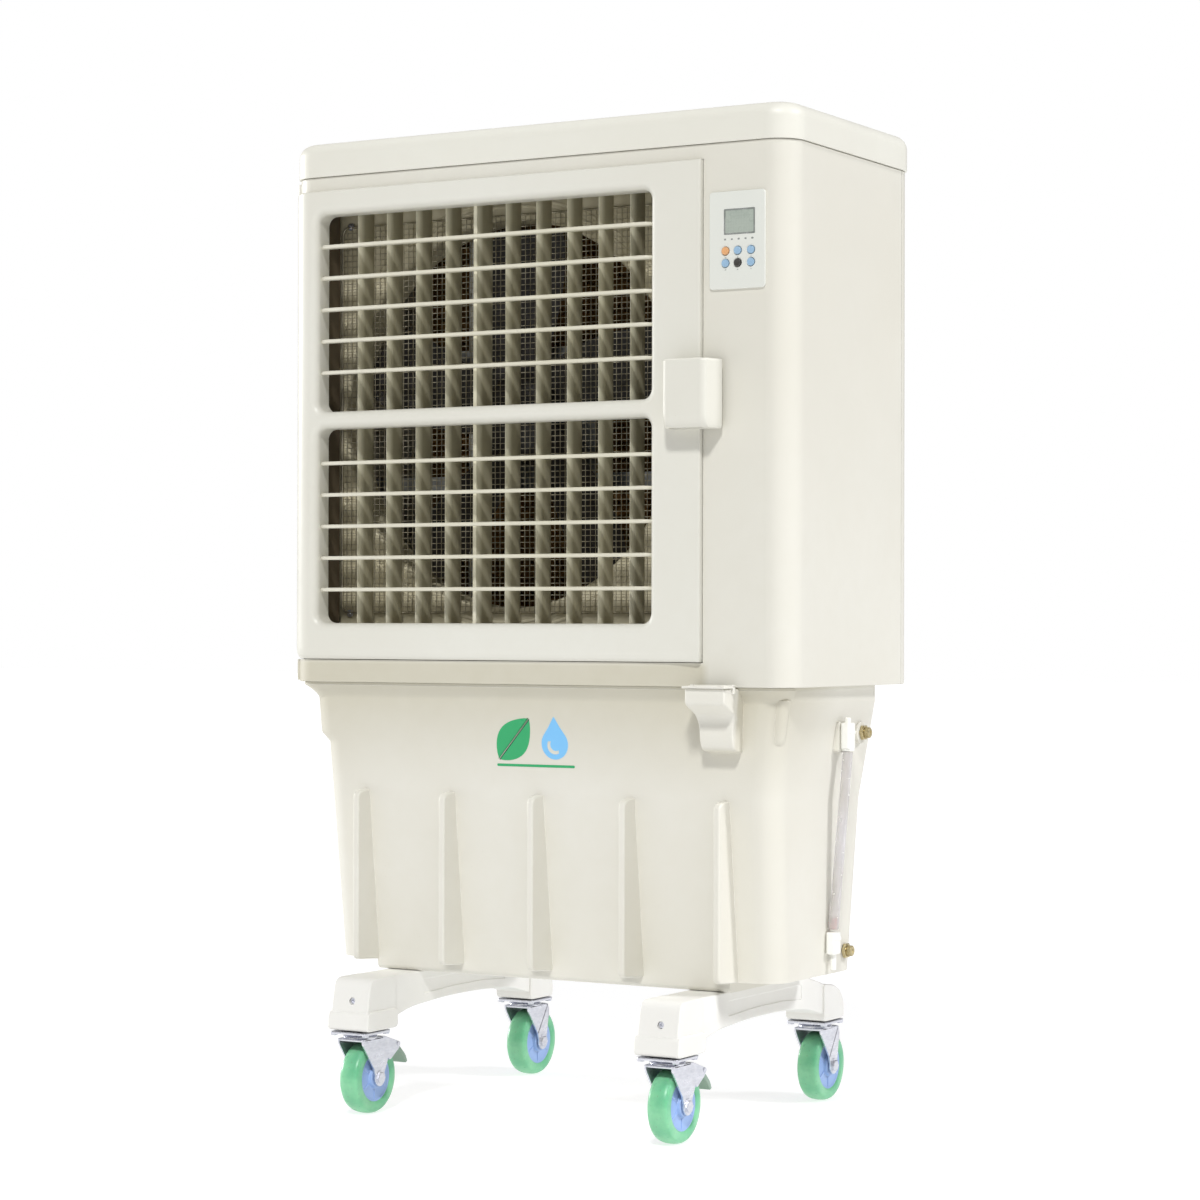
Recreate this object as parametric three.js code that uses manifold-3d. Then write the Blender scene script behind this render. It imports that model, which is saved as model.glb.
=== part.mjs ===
// A portable evaporative air cooler: a water tank carries a fan housing, and four casters carry both.
// Millimetres. +Z is up, -Y is the front where the air comes out, and +X is the control side.
// The origin is on the floor, under the middle of the machine.

import * as THREE from 'three';
import { mergeVertices } from 'three/addons/utils/BufferGeometryUtils.js';
import Module from 'manifold-3d';

const wasm = await Module();
wasm.setup();

// ---------------------------------------------------------------- driving dimensions

const GAP = 0.3;                     // between touching pieces
const WALL = 4;                      // moulded housing walls

const HOUSING = { halfX: 398, front: -190, back: 190, corner: 38, bottom: 596, top: 1309 };
const REAR_SEAM_Y = 150;             // the housing ends here and the rear pad frame begins
const TANK_MOUTH = [-345, 345, -150, 112];            // opening in the housing's floor
const COVER = { top: 1360, overhang: 3, fillet: 21 };

const DOOR = { front: -198, back: -166, right: 269, bottom: 628.5, top: 1288.5 };
const DOOR_GAP = 2.5;                // between the door and its opening
const HINGE = { x: -388, y: -166, rod: 2.5, hole: 2.9, knuckle: 5.5, bottom: 612, top: 1304 };
const JAMB_Y = -155;                 // the side wall starts here, clear of the turning door
const WINDOW = { left: -348, right: 192, corner: 14 };
const WINDOW_Z = { lower: [679, 953], upper: [977, 1255] };
const DUCT = { left: -362, right: 207, bottom: 671, top: 1273, back: -124 };
const MULLION = { x: -102, half: 3 };

const H_VANE = { front: -194, back: -170, pivot: -182, pin: 2.4, hole: 2.9 };
const H_VANE_Z = { lower: 726, upper: 1032 };        // lowest vane of each window
const H_VANE_PITCH = 44.5;
const H_VANES = 5;
const V_VANE = { front: -164, back: -124.5, pivot: -144, pin: 2.4, hole: 2.9 };
const V_VANE_PITCH = 49.3;
const V_VANE_PLACES = 10;            // the fifth place holds the door's fixed mullion
const V_VANE_MIDDLE_X = -77.5;

const LATCH = { left: 228, right: 303, bottom: 934, top: 1025, front: -232 };
const LATCH_PIVOT = { x: 233.4, y: -204, barrel: 5.4, pin: 2.4, pinHalf: 18, hole: 2.8, lugHalf: 9.5 };
const PANEL = { left: 280, right: 362, bottom: 1116, top: 1244, front: -193 };
const SCREEN = { left: 301, right: 347, bottom: 1187, top: 1221 };
const BUTTON = { radius: 5.2, front: -195.2, back: -191.6, x: [304, 322, 341.5], z: [1166, 1150] };

const FAN = { x: -82, z: 970, opening: 270, tip: 262, hub: 62, front: -98, back: -52, blades: 5 };
const FAN_PLATE = { front: -114, back: -110, collarBack: -60 };
const GUARD = { front: -119, back: -116, half: 278, bars: 6, bar: 4 };
const MOTOR = { radius: 68, front: -45, back: 60, shaft: 8, flange: 80 };
const BRACKET = { front: -30, back: -26, barHeight: 20, halfHeight: 100, plateHalf: 93 };
const PAD = { halfX: 388, front: 128, back: 168, bottom: 640, top: 1285 };
const REAR_SLOT = { halfX: 160, centreX: 175, height: 36, pitch: 52, rows: 12, lowest: 650 };
const INLET = { x: -340, z: 620, radius: 11, reach: 9, hole: 4.5 };
const PUMP = { x: -230, y: 35, half: 35, front: 32, back: 28, top: 250, neck: 13, neckTop: 275 };
const PIPE = { radius: 9, headerY: 140, endX: 358 };

const TANK = {
  bottom: { z: 190, halfX: 353, front: -134, back: 98 },
  top: { z: 595.7, halfX: 363, front: -174, back: 138 },
  corner: 35, wall: 5,
};
const TANK_STEP = { halfX: 282, z: 205 };            // the floor is higher outside the beams
const RIM = { halfX: 391, front: -185, back: 149, corner: 38, z: 592, from: 575 };
const COLLAR = { halfX: 376, front: -180, back: 144, corner: 42, inner: 322, bottom: 520, top: 580 };
const FIN = { pitch: 143.5, half: 4.5, front: -184, back: 150, bottom: 207, top: 443, count: 5 };
const POCKET = {
  left: 262, right: 321, front: -226, top: 594.5, lip: 574, slopeEnd: 562,
  belly: -194, bellyTop: 555, bellyBottom: 530, bottom: 506,
};
const LID = {
  left: 259, right: 324, front: -230, bottom: 595, top: 598, pivotY: -203, pivotZ: 597.2,
  barrel: 2.2, pin: 1.5, pinHole: 1.9, earHalf: 3, earHeight: 2.8, earRoom: 4.6,
};
const GAUGE = {
  y: 12, topX: 383.5, bottomX: 362.2, top: 508, bottom: 266, radius: 7, bore: 5.2,
  unionTop: 546, unionBottom: 230, unionHalf: [7, 10.5], nipple: 4, endGap: 1,
};
const FLOAT = { radius: 4.7, height: 14 };
const PLUG = { flange: 11, flangeThick: 5, knob: 7, length: 12 };
const OVERFLOW = { y: 72, z: 531 };
const DRAIN = { x: 355, y: 62, z: 233, shank: 6, shankLength: 9, hole: 6.5 };

const BEAM_X = 243;
const BEAM = { half: 28, blockHalf: 31, footHalf: 34, top: 189.7, foot: 118, plateBottom: 113 };
const CASTER = {
  wheel: 50, width: 30, hubHalf: 17, trail: 18, axle: 5, bore: 5.4,
  legIn: 18.5, legOut: 21.5, crownBottom: 103, crownTop: 106.5, race: 24, head: 8, headOut: 25,
};
const SWIVEL_Y = { front: -234, rear: 198 };
const PEDAL = { y: 62, z: 92, half: 14, pin: 2, pinHalf: 20, hole: 2.4, barrel: 4.5 };

// ---------------------------------------------------------------- finishes

const paint = (color, roughness, metalness = 0) =>
  new THREE.MeshStandardMaterial({ color, roughness, metalness });
const FINISH = {
  ivory: paint(0xe6e3d6, 0.45),
  doorIvory: paint(0xf3f2ec, 0.4),
  tankIvory: paint(0xe0ddd2, 0.5),
  vane: paint(0xefede2, 0.45),
  innerPlate: paint(0xcfc8ae, 0.6),
  wire: paint(0xc9c4b0, 0.4, 0.6),
  darkPlastic: paint(0x2c2e2d, 0.5),
  steel: paint(0xb9bdc0, 0.3, 0.9),
  pad: paint(0xa9814f, 0.9),
  panel: paint(0xdfe6ec, 0.4),
  orange: paint(0xf0a04b, 0.4),
  blue: paint(0x7fb2e0, 0.4),
  black: paint(0x2b2f36, 0.4),
  beam: paint(0xf2f2ee, 0.5),
  tyre: paint(0x7fd68a, 0.35),
  zinc: paint(0xc6cacd, 0.3, 0.9),
  pedal: paint(0x9fb3a6, 0.5),
  clear: paint(0xd9e2e4, 0.1),
  white: paint(0xfafaf8, 0.4),
  red: paint(0xd8553f, 0.4),
  brass: paint(0xb99b5a, 0.3, 0.9),
};

// ---------------------------------------------------------------- solids

/** A closed three.js geometry as a solid that can be cut and joined. */
function solid(geometry) {
  const bare = geometry.clone();
  bare.deleteAttribute('normal');
  bare.deleteAttribute('uv');
  const merged = mergeVertices(bare, 1e-4);
  return new wasm.Manifold(new wasm.Mesh({
    numProp: 3,
    vertProperties: new Float32Array(merged.attributes.position.array),
    triVerts: new Uint32Array(merged.index.array),
  }));
}

/** A solid as a geometry with flat shading. */
function geometryOf(body) {
  const mesh = body.getMesh();
  const geometry = new THREE.BufferGeometry();
  geometry.setAttribute('position', new THREE.BufferAttribute(new Float32Array(mesh.vertProperties), 3));
  geometry.setIndex(new THREE.BufferAttribute(new Uint32Array(mesh.triVerts), 1));
  geometry.computeVertexNormals();
  return geometry;
}

const join = (...bodies) => bodies.reduce((all, body) => all.add(body));
const cut = (body, ...tools) => tools.reduce((left, tool) => left.subtract(tool), body);

function outline(points, holes = []) {
  const shape = new THREE.Shape(points.map(([u, v]) => new THREE.Vector2(u, v)));
  shape.holes = holes.map((hole) => new THREE.Path(hole.map(([u, v]) => new THREE.Vector2(u, v))));
  return shape;
}

function extrude(points, depth, holes) {
  return new THREE.ExtrudeGeometry(outline(points, holes), { depth, bevelEnabled: false });
}

/** Points are [x, y]. */
const alongZ = (points, z0, z1, holes) => solid(extrude(points, z1 - z0, holes).translate(0, 0, z0));

/** Points are [y, z]. */
function alongX(points, x0, x1, holes) {
  const turn = new THREE.Matrix4().makeBasis(
    new THREE.Vector3(0, 1, 0), new THREE.Vector3(0, 0, 1), new THREE.Vector3(1, 0, 0));
  return solid(extrude(points, x1 - x0, holes).applyMatrix4(turn).translate(x0, 0, 0));
}

/** Points are [x, z]. */
function alongY(points, y0, y1, holes) {
  const turn = new THREE.Matrix4().makeBasis(
    new THREE.Vector3(1, 0, 0), new THREE.Vector3(0, 0, 1), new THREE.Vector3(0, -1, 0));
  return solid(extrude(points, y1 - y0, holes).applyMatrix4(turn).translate(0, y1, 0));
}

const rectangle = (u0, u1, v0, v1) => [[u0, v0], [u1, v0], [u1, v1], [u0, v1]];
const box = (x0, x1, y0, y1, z0, z1) => alongZ(rectangle(x0, x1, y0, y1), z0, z1);

/** Points of an arc, angles in degrees. */
function arc(u, v, radius, from, to, steps) {
  return Array.from({ length: steps + 1 }, (_, i) => {
    const angle = THREE.MathUtils.degToRad(from + ((to - from) * i) / steps);
    return [u + radius * Math.cos(angle), v + radius * Math.sin(angle)];
  });
}

const circle = (u, v, radius, sides) => arc(u, v, radius, 0, 360 * (1 - 1 / sides), sides - 1);

/** A rectangle with round corners, as a ring of points. */
function roundedRectangle(u0, u1, v0, v1, radius, steps = 5) {
  return [
    ...arc(u1 - radius, v1 - radius, radius, 0, 90, steps),
    ...arc(u0 + radius, v1 - radius, radius, 90, 180, steps),
    ...arc(u0 + radius, v0 + radius, radius, 180, 270, steps),
    ...arc(u1 - radius, v0 + radius, radius, 270, 360, steps),
  ];
}

const rodX = (y, z, radius, x0, x1, sides = 12) => alongX(circle(y, z, radius, sides), x0, x1);
const rodY = (x, z, radius, y0, y1, sides = 12) => alongY(circle(x, z, radius, sides), y0, y1);
const rodZ = (x, y, radius, z0, z1, sides = 12) => alongZ(circle(x, y, radius, sides), z0, z1);

/** A closed skin over rings of equal point count, from the lowest ring to the highest. */
function loft(levels) {
  const count = levels[0].ring.length;
  const positions = levels.flatMap(({ z, ring }) => ring.flatMap(([x, y]) => [x, y, z]));
  const faces = [];
  for (let level = 0; level < levels.length - 1; level += 1) {
    for (let i = 0; i < count; i += 1) {
      const a = level * count + i;
      const b = level * count + ((i + 1) % count);
      faces.push(a, b, b + count, a, b + count, a + count);
    }
  }
  const last = (levels.length - 1) * count;
  for (let i = 1; i < count - 1; i += 1) {
    faces.push(0, i + 1, i, last, last + i, last + i + 1);
  }
  const geometry = new THREE.BufferGeometry();
  geometry.setAttribute('position', new THREE.Float32BufferAttribute(positions, 3));
  geometry.setIndex(faces);
  return solid(geometry);
}

// ---------------------------------------------------------------- the model

const group = new THREE.Group();

function piece(name, body, material, position = [0, 0, 0], parent = group) {
  const mesh = new THREE.Mesh(geometryOf(body), material);
  mesh.name = name;
  mesh.position.set(...position);
  parent.add(mesh);
  return mesh;
}

// ---------------------------------------------------------------- water tank

const mix = (a, b, t) => a + (b - a) * t;

/** The tank's outline at a height, moved inwards by inset. */
function tankLevel(z, inset = 0) {
  const t = (z - TANK.bottom.z) / (TANK.top.z - TANK.bottom.z);
  const halfX = mix(TANK.bottom.halfX, TANK.top.halfX, t) - inset;
  const front = mix(TANK.bottom.front, TANK.top.front, t) + inset;
  const back = mix(TANK.bottom.back, TANK.top.back, t) - inset;
  return { z, ring: roundedRectangle(-halfX, halfX, front, back, TANK.corner - inset) };
}

/** Ribs down the tank's front and back, sunk deep enough to meet its sloping wall. */
function tankFins() {
  const depth = 60;
  const fins = [];
  for (let i = 0; i < FIN.count; i += 1) {
    const x = (i - (FIN.count - 1) / 2) * FIN.pitch;
    fins.push(box(x - FIN.half, x + FIN.half, FIN.front, FIN.front + depth, FIN.bottom, FIN.top));
    fins.push(box(x - FIN.half, x + FIN.half, FIN.back - depth, FIN.back, FIN.bottom, FIN.top));
  }
  return fins;
}

/** The scoop that the tank is filled through: a lip, a sloping front and a shallower belly. */
function fillPocket() {
  const { front, top, lip, slopeEnd, belly, bellyTop, bellyBottom, bottom } = POCKET;
  const inTank = -150;
  return alongX([
    [front, top], [front, lip], [belly - 3, slopeEnd], [belly, bellyTop], [belly, bellyBottom],
    [belly + 8, bottom + 6], [inTank, bottom], [inTank, top],
  ], POCKET.left, POCKET.right);
}

/** Open at the top outside the rim, and through to the tank below it. */
function pocketHollow() {
  const { left, right, front, lip, slopeEnd, belly } = POCKET;
  const inTank = -140;
  const underRim = 586;
  const above = 620;
  return alongX([
    [front + WALL, above], [front + WALL, lip + WALL], [belly, slopeEnd + WALL], [inTank, slopeEnd + WALL],
    [inTank, underRim], [belly - 2, underRim], [belly - 2, above],
  ], left + WALL, right - WALL);
}

function lidEars() {
  const { pivotY, pivotZ, earHalf, earHeight } = LID;
  const profile = rectangle(pivotY - earHalf, pivotY + earHalf, POCKET.top - 6.5, pivotZ + earHeight);
  return [
    alongX(profile, POCKET.left - 2.5, POCKET.left + 2),
    alongX(profile, POCKET.right - 2, POCKET.right + 2.5),
  ];
}

/** The raised band round both ends of the tank, under the rim. */
function tankCollar() {
  const { halfX, front, back, corner, inner, bottom, top } = COLLAR;
  const band = alongZ(roundedRectangle(-halfX, halfX, front, back, corner), bottom, top);
  return cut(band, box(-inner, inner, front - 1, back + 1, bottom - 1, top + 1));
}

/** The rim spreads out under the housing's edge. */
function tankRim() {
  const ring = roundedRectangle(-RIM.halfX, RIM.halfX, RIM.front, RIM.back, RIM.corner);
  return loft([tankLevel(RIM.from), { z: RIM.z, ring }, { z: TANK.top.z, ring }]);
}

function tank() {
  const shell = join(
    loft([tankLevel(TANK.bottom.z), tankLevel(TANK.top.z)]),
    tankCollar(), tankRim(), ...tankFins(), fillPocket(), ...lidEars());
  const steps = [[-HOUSING.halfX, -TANK_STEP.halfX], [TANK_STEP.halfX, HOUSING.halfX]].map(([x0, x1]) => box(
    x0, x1, HOUSING.front, HOUSING.back, TANK.bottom.z - 1, TANK_STEP.z));
  const inside = join(
    loft([tankLevel(TANK_STEP.z + TANK.wall, TANK.wall), tankLevel(TANK.top.z + 2, TANK.wall)]),
    box(-TANK_STEP.halfX + TANK.wall, TANK_STEP.halfX - TANK.wall, TANK.bottom.front + TANK.wall,
      TANK.bottom.back - TANK.wall, TANK.bottom.z + TANK.wall, TANK_STEP.z + TANK.wall + 1));
  const drainHole = rodX(DRAIN.y, DRAIN.z, DRAIN.hole, DRAIN.x - 25, DRAIN.x + 15);
  const pinHole = rodX(LID.pivotY, LID.pivotZ, LID.pinHole, LID.left - 5, LID.right + 5, 8);
  return cut(shell, ...steps, inside, pocketHollow(), drainHole, pinHole);
}

piece('tank', tank(), FINISH.tankIvory);

/** A plate with a barrel at its rear edge, cut away round the tank's two ears. */
function fillLid() {
  const { left, right, pivotY, pivotZ, earRoom } = LID;
  const barrelEnd = 2.4;
  const plate = box(left, right, LID.front, pivotY - 1, LID.bottom, LID.top);
  const earRooms = [[left - 1, POCKET.left + barrelEnd], [POCKET.right - barrelEnd, right + 1]].map(
    ([x0, x1]) => box(x0, x1, pivotY - earRoom, pivotY + earRoom, LID.bottom - 5, LID.top + 5));
  const barrel = rodX(pivotY, pivotZ, LID.barrel, POCKET.left + barrelEnd, POCKET.right - barrelEnd, 8);
  const pin = rodX(pivotY, pivotZ, LID.pin, POCKET.left - 1.5, POCKET.right + 1.5, 8);
  return join(cut(plate, ...earRooms), barrel, pin);
}

piece('fill_lid', fillLid(), FINISH.tankIvory);

// ---------------------------------------------------------------- level gauge and plugs

function gaugeUnion(x, z0, z1, nippleEnds) {
  const [halfX, halfY] = GAUGE.unionHalf;
  const block = box(x - halfX, x + halfX, GAUGE.y - halfY, GAUGE.y + halfY, z0, z1);
  return join(block, rodZ(x, GAUGE.y, GAUGE.nipple, ...nippleEnds, 10));
}

piece('gauge_top_fitting', gaugeUnion(GAUGE.topX, GAUGE.top, GAUGE.unionTop,
  [GAUGE.unionTop, GAUGE.unionTop + 7]), FINISH.white);
piece('gauge_bottom_fitting', gaugeUnion(GAUGE.bottomX, GAUGE.unionBottom, GAUGE.bottom,
  [GAUGE.unionBottom - 18, GAUGE.unionBottom]), FINISH.white);

const gaugeLine = new THREE.Group();       // leans outwards with the tank's side
const gaugeRun = new THREE.Vector2(GAUGE.topX - GAUGE.bottomX, GAUGE.top - GAUGE.bottom);
gaugeLine.position.set(GAUGE.bottomX, GAUGE.y, GAUGE.bottom);
gaugeLine.rotation.y = Math.atan2(gaugeRun.x, gaugeRun.y);
group.add(gaugeLine);

const { endGap } = GAUGE;
const gaugeTube = cut(
  rodZ(0, 0, GAUGE.radius, endGap, gaugeRun.length() - endGap, 16),
  rodZ(0, 0, GAUGE.bore, 0, gaugeRun.length(), 16));
piece('gauge_tube', gaugeTube, FINISH.clear, [0, 0, 0], gaugeLine);
piece('level_float', rodZ(0, 0, FLOAT.radius, endGap, endGap + FLOAT.height), FINISH.red,
  [0, 0, 0], gaugeLine);

function plug(x, { y, z }) {
  const { flange, flangeThick, knob, length } = PLUG;
  return join(rodX(y, z, flange, x, x + flangeThick, 6), rodX(y, z, knob, x + flangeThick, x + length));
}

piece('overflow_plug', plug(COLLAR.halfX + GAP, OVERFLOW), FINISH.brass);
piece('drain_plug', join(plug(DRAIN.x, DRAIN),
  rodX(DRAIN.y, DRAIN.z, DRAIN.shank, DRAIN.x - DRAIN.shankLength, DRAIN.x)), FINISH.brass);

// ---------------------------------------------------------------- housing

function housingRing(inset = 0) {
  const { halfX, front, back, corner } = HOUSING;
  return roundedRectangle(-halfX + inset, halfX - inset, front + inset, back - inset, corner - inset);
}

const hingeBlock = (z0, z1) => box(HINGE.x - 8, HINGE.x + 9, HINGE.y - 9, HINGE.y + 8, z0, z1);

function cabinet() {
  const { halfX, front, back, bottom, top } = HOUSING;
  const outside = alongZ(housingRing(), bottom, top);
  const inside = alongZ(housingRing(WALL), bottom + WALL, top + 1);
  const tankMouth = alongZ(rectangle(...TANK_MOUTH), bottom - 1, bottom + WALL + 1);
  const doorOpening = box(-halfX - 1, DOOR.right + DOOR_GAP, front - 1, JAMB_Y,
    DOOR.bottom - DOOR_GAP, DOOR.top + DOOR_GAP);
  const behindSeam = box(-halfX - 1, halfX + 1, REAR_SEAM_Y, back + 1, bottom - 1, top + 1);
  const shell = cut(outside, inside, tankMouth, doorOpening, behindSeam);
  const leftJamb = box(-halfX + 1, DUCT.left - 4, JAMB_Y, JAMB_Y + WALL, DOOR.bottom - DOOR_GAP - 1,
    DOOR.top + DOOR_GAP + 1);
  const jambX = DOOR.right + DOOR_GAP;
  const rightJamb = box(jambX, jambX + WALL, front + 1, FAN_PLATE.front - GAP, bottom + 1, top);
  const lowerBlock = hingeBlock(bottom + WALL - 1, DOOR.bottom - DOOR_GAP);
  const upperBlock = hingeBlock(DOOR.top + DOOR_GAP, HINGE.top);
  const rodHole = rodZ(HINGE.x, HINGE.y, HINGE.hole, HINGE.bottom, top);
  return cut(join(shell, leftJamb, rightJamb, lowerBlock, upperBlock), rodHole);
}

piece('cabinet', cabinet(), FINISH.ivory);
piece('hinge_rod', rodZ(HINGE.x, HINGE.y, HINGE.rod, HINGE.bottom + GAP, HINGE.top - 1), FINISH.steel);

function topCover() {
  const { halfX, front, back, corner, top } = HOUSING;
  const { overhang, fillet } = COVER;
  const ring = (inset) => roundedRectangle(-halfX - overhang + inset, halfX + overhang - inset,
    front - overhang + inset, back + overhang - inset, corner + overhang - inset);
  const levels = [{ z: top + GAP, ring: ring(0) }];
  for (const degrees of [0, 22.5, 45, 67.5, 90]) {
    const angle = THREE.MathUtils.degToRad(degrees);
    levels.push({
      z: COVER.top - fillet + fillet * Math.sin(angle),
      ring: ring(fillet * (1 - Math.cos(angle))),
    });
  }
  const hollow = loft([{ z: top - 1, ring: ring(WALL) }, { z: COVER.top - fillet, ring: ring(WALL) },
    { z: COVER.top - WALL, ring: ring(fillet) }]);
  return cut(loft(levels), hollow);
}

piece('top_cover', topCover(), FINISH.ivory);

// ---------------------------------------------------------------- rear frame and cooling pad

function rearFrame() {
  const { halfX, back, bottom, top } = HOUSING;
  const before = box(-halfX - 1, halfX + 1, HOUSING.front - 1, REAR_SEAM_Y + GAP, bottom - 1, top + 1);
  const shell = cut(alongZ(housingRing(), bottom, top),
    alongZ(housingRing(WALL), bottom + WALL, top - WALL), before);
  const slots = [];
  for (let row = 0; row < REAR_SLOT.rows; row += 1) {
    const z = REAR_SLOT.lowest + row * REAR_SLOT.pitch;
    for (const x of [-REAR_SLOT.centreX, REAR_SLOT.centreX]) {
      slots.push(box(x - REAR_SLOT.halfX, x + REAR_SLOT.halfX, back - WALL - 1, back + 1,
        z, z + REAR_SLOT.height));
    }
  }
  const inletBoss = rodY(INLET.x, INLET.z, INLET.radius, back - 1, back + INLET.reach);
  const inletHole = rodY(INLET.x, INLET.z, INLET.hole, back - 10, back + INLET.reach + 1);
  return cut(join(shell, inletBoss), ...slots, inletHole);
}

piece('rear_frame', rearFrame(), FINISH.ivory);
piece('cooling_pad', box(-PAD.halfX, PAD.halfX, PAD.front, PAD.back, PAD.bottom, PAD.top), FINISH.pad);

// ---------------------------------------------------------------- fan

function fanPlate() {
  const halfX = HOUSING.halfX - WALL - GAP;
  const sides = 40;
  const plate = alongY(rectangle(-halfX, halfX, HOUSING.bottom + WALL + GAP, HOUSING.top - 1),
    FAN_PLATE.front, FAN_PLATE.back);
  const collar = rodY(FAN.x, FAN.z, FAN.opening + WALL, FAN_PLATE.front, FAN_PLATE.collarBack, sides);
  const opening = rodY(FAN.x, FAN.z, FAN.opening, FAN_PLATE.front - 1, FAN_PLATE.collarBack + 1, sides);
  return cut(join(plate, collar), opening);
}

piece('fan_plate', fanPlate(), FINISH.innerPlate);

function fanGuard() {
  const { front, back, half, bars, bar } = GUARD;
  const pitch = (2 * half - bar) / bars;
  const holes = [];
  for (let i = 0; i < bars; i += 1) {
    for (let j = 0; j < bars; j += 1) {
      const x = FAN.x - half + bar + i * pitch;
      const z = FAN.z - half + bar + j * pitch;
      holes.push(box(x, x + pitch - bar, front - 1, back + 1, z, z + pitch - bar));
    }
  }
  return cut(box(FAN.x - half, FAN.x + half, front, back, FAN.z - half, FAN.z + half), ...holes);
}

piece('fan_guard', fanGuard(), FINISH.wire);

/** The impeller is made round its own axis and placed at the fan's centre. */
function impeller() {
  const hub = rodY(0, 0, FAN.hub, FAN.front, FAN.back, 24);
  const bore = rodY(0, 0, MOTOR.shaft + 0.4, FAN.front + 5, FAN.back + 1, 12);
  const root = FAN.hub - 8;
  const blade = alongY([
    [-34, root], [34, root], [58, FAN.tip * 0.6], [52, FAN.tip * 0.93], [20, FAN.tip * 0.99],
    [-30, FAN.tip * 0.98], [-56, FAN.tip * 0.85], [-50, FAN.tip * 0.5],
  ], -1.6, 1.6);
  const pitched = blade.rotate([0, 0, 27]).translate([0, (FAN.front + FAN.back) / 2, 0]);
  const blades = Array.from({ length: FAN.blades },
    (_, i) => pitched.rotate([0, (360 * i) / FAN.blades, 0]));
  return cut(join(hub, ...blades), bore);
}

piece('fan_impeller', impeller(), FINISH.darkPlastic, [FAN.x, 0, FAN.z]);

function fanMotor() {
  const can = rodY(FAN.x, FAN.z, MOTOR.radius, MOTOR.front, MOTOR.back, 24);
  const flange = rodY(FAN.x, FAN.z, MOTOR.flange, BRACKET.back + GAP, BRACKET.back + 5, 24);
  const shaft = rodY(FAN.x, FAN.z, MOTOR.shaft, FAN.front + 6, MOTOR.front, 12);
  return join(can, flange, shaft);
}

piece('fan_motor', fanMotor(), FINISH.darkPlastic);

function motorBracket() {
  const { front, back, barHeight, halfHeight, plateHalf } = BRACKET;
  const halfX = HOUSING.halfX - WALL - GAP;
  const bar = (z) => box(-halfX, halfX, front, back, z, z + barHeight);
  const plate = box(FAN.x - plateHalf, FAN.x + plateHalf, front, back,
    FAN.z - halfHeight, FAN.z + halfHeight);
  const hole = rodY(FAN.x, FAN.z, MOTOR.radius + GAP, front - 1, back + 1, 24);
  return cut(join(plate, bar(FAN.z - halfHeight), bar(FAN.z + halfHeight - barHeight)), hole);
}

piece('motor_bracket', motorBracket(), FINISH.steel);

// ---------------------------------------------------------------- water circuit

piece('water_pump', join(
  box(PUMP.x - PUMP.half, PUMP.x + PUMP.half, PUMP.y - PUMP.front, PUMP.y + PUMP.back,
    TANK.bottom.z + TANK.wall + GAP, PUMP.top),
  rodZ(PUMP.x, PUMP.y, PUMP.neck, PUMP.top, PUMP.neckTop)), FINISH.darkPlastic);

/** Up from the pump, back over the pad, and along it. */
function waterPipe() {
  const { radius, headerY, endX } = PIPE;
  const headerZ = PAD.top + radius + 2;
  return join(
    rodZ(PUMP.x, PUMP.y, radius, PUMP.neckTop + GAP, headerZ + radius, 10),
    rodY(PUMP.x, headerZ, radius, PUMP.y, headerY, 10),
    rodX(headerY, headerZ, radius, PUMP.x - radius, endX, 10));
}

piece('water_pipe', waterPipe(), FINISH.white);

// ---------------------------------------------------------------- front door

/** The door's outline seen from above: it wraps the housing's left corner. */
function doorOutline(inset = 0) {
  const back = DOOR.back + (inset ? 1 : 0);
  const radius = HOUSING.corner - inset;
  const x = -HOUSING.halfX + inset + radius;
  const y = DOOR.front + inset + radius;
  const start = 180 + THREE.MathUtils.radToDeg(Math.asin((y - back) / radius));
  return [
    ...arc(x, y, radius, start, 270, 6),
    [DOOR.right - inset, DOOR.front + inset],
    [DOOR.right - inset, back],
  ];
}

const windowRing = (z0, z1, grow) => roundedRectangle(
  WINDOW.left - grow, WINDOW.right + grow, z0 - grow, z1 + grow, WINDOW.corner + grow, 4);

const vaneX = (place) => V_VANE_MIDDLE_X + V_VANE_PITCH * (place - (V_VANE_PLACES - 1) / 2);
const hVaneZ = (window, place) => H_VANE_Z[window] + H_VANE_PITCH * place;
const vanePlaces = [...Array(V_VANE_PLACES).keys()].filter((place) => place !== 4);
const windows = Object.keys(WINDOW_Z);

function ductRing() {
  const edge = rectangle(DUCT.left, DUCT.right, DUCT.bottom, DUCT.top);
  const hole = rectangle(DUCT.left + WALL, DUCT.right - WALL, DUCT.bottom + WALL, DUCT.top - WALL);
  return cut(alongY(edge, DOOR.back - 1, DUCT.back), alongY(hole, DOOR.back - 9, DUCT.back + 1));
}

const latchMiddle = (LATCH.bottom + LATCH.top) / 2;

function latchLug() {
  const { x, y, pin, pinHalf, lugHalf } = LATCH_PIVOT;
  return join(
    box(x - 4, x + 4, y - 4, DOOR.front + 1, latchMiddle - lugHalf, latchMiddle + lugHalf),
    rodZ(x, y, pin, latchMiddle - pinHalf, latchMiddle + pinHalf));
}

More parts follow.
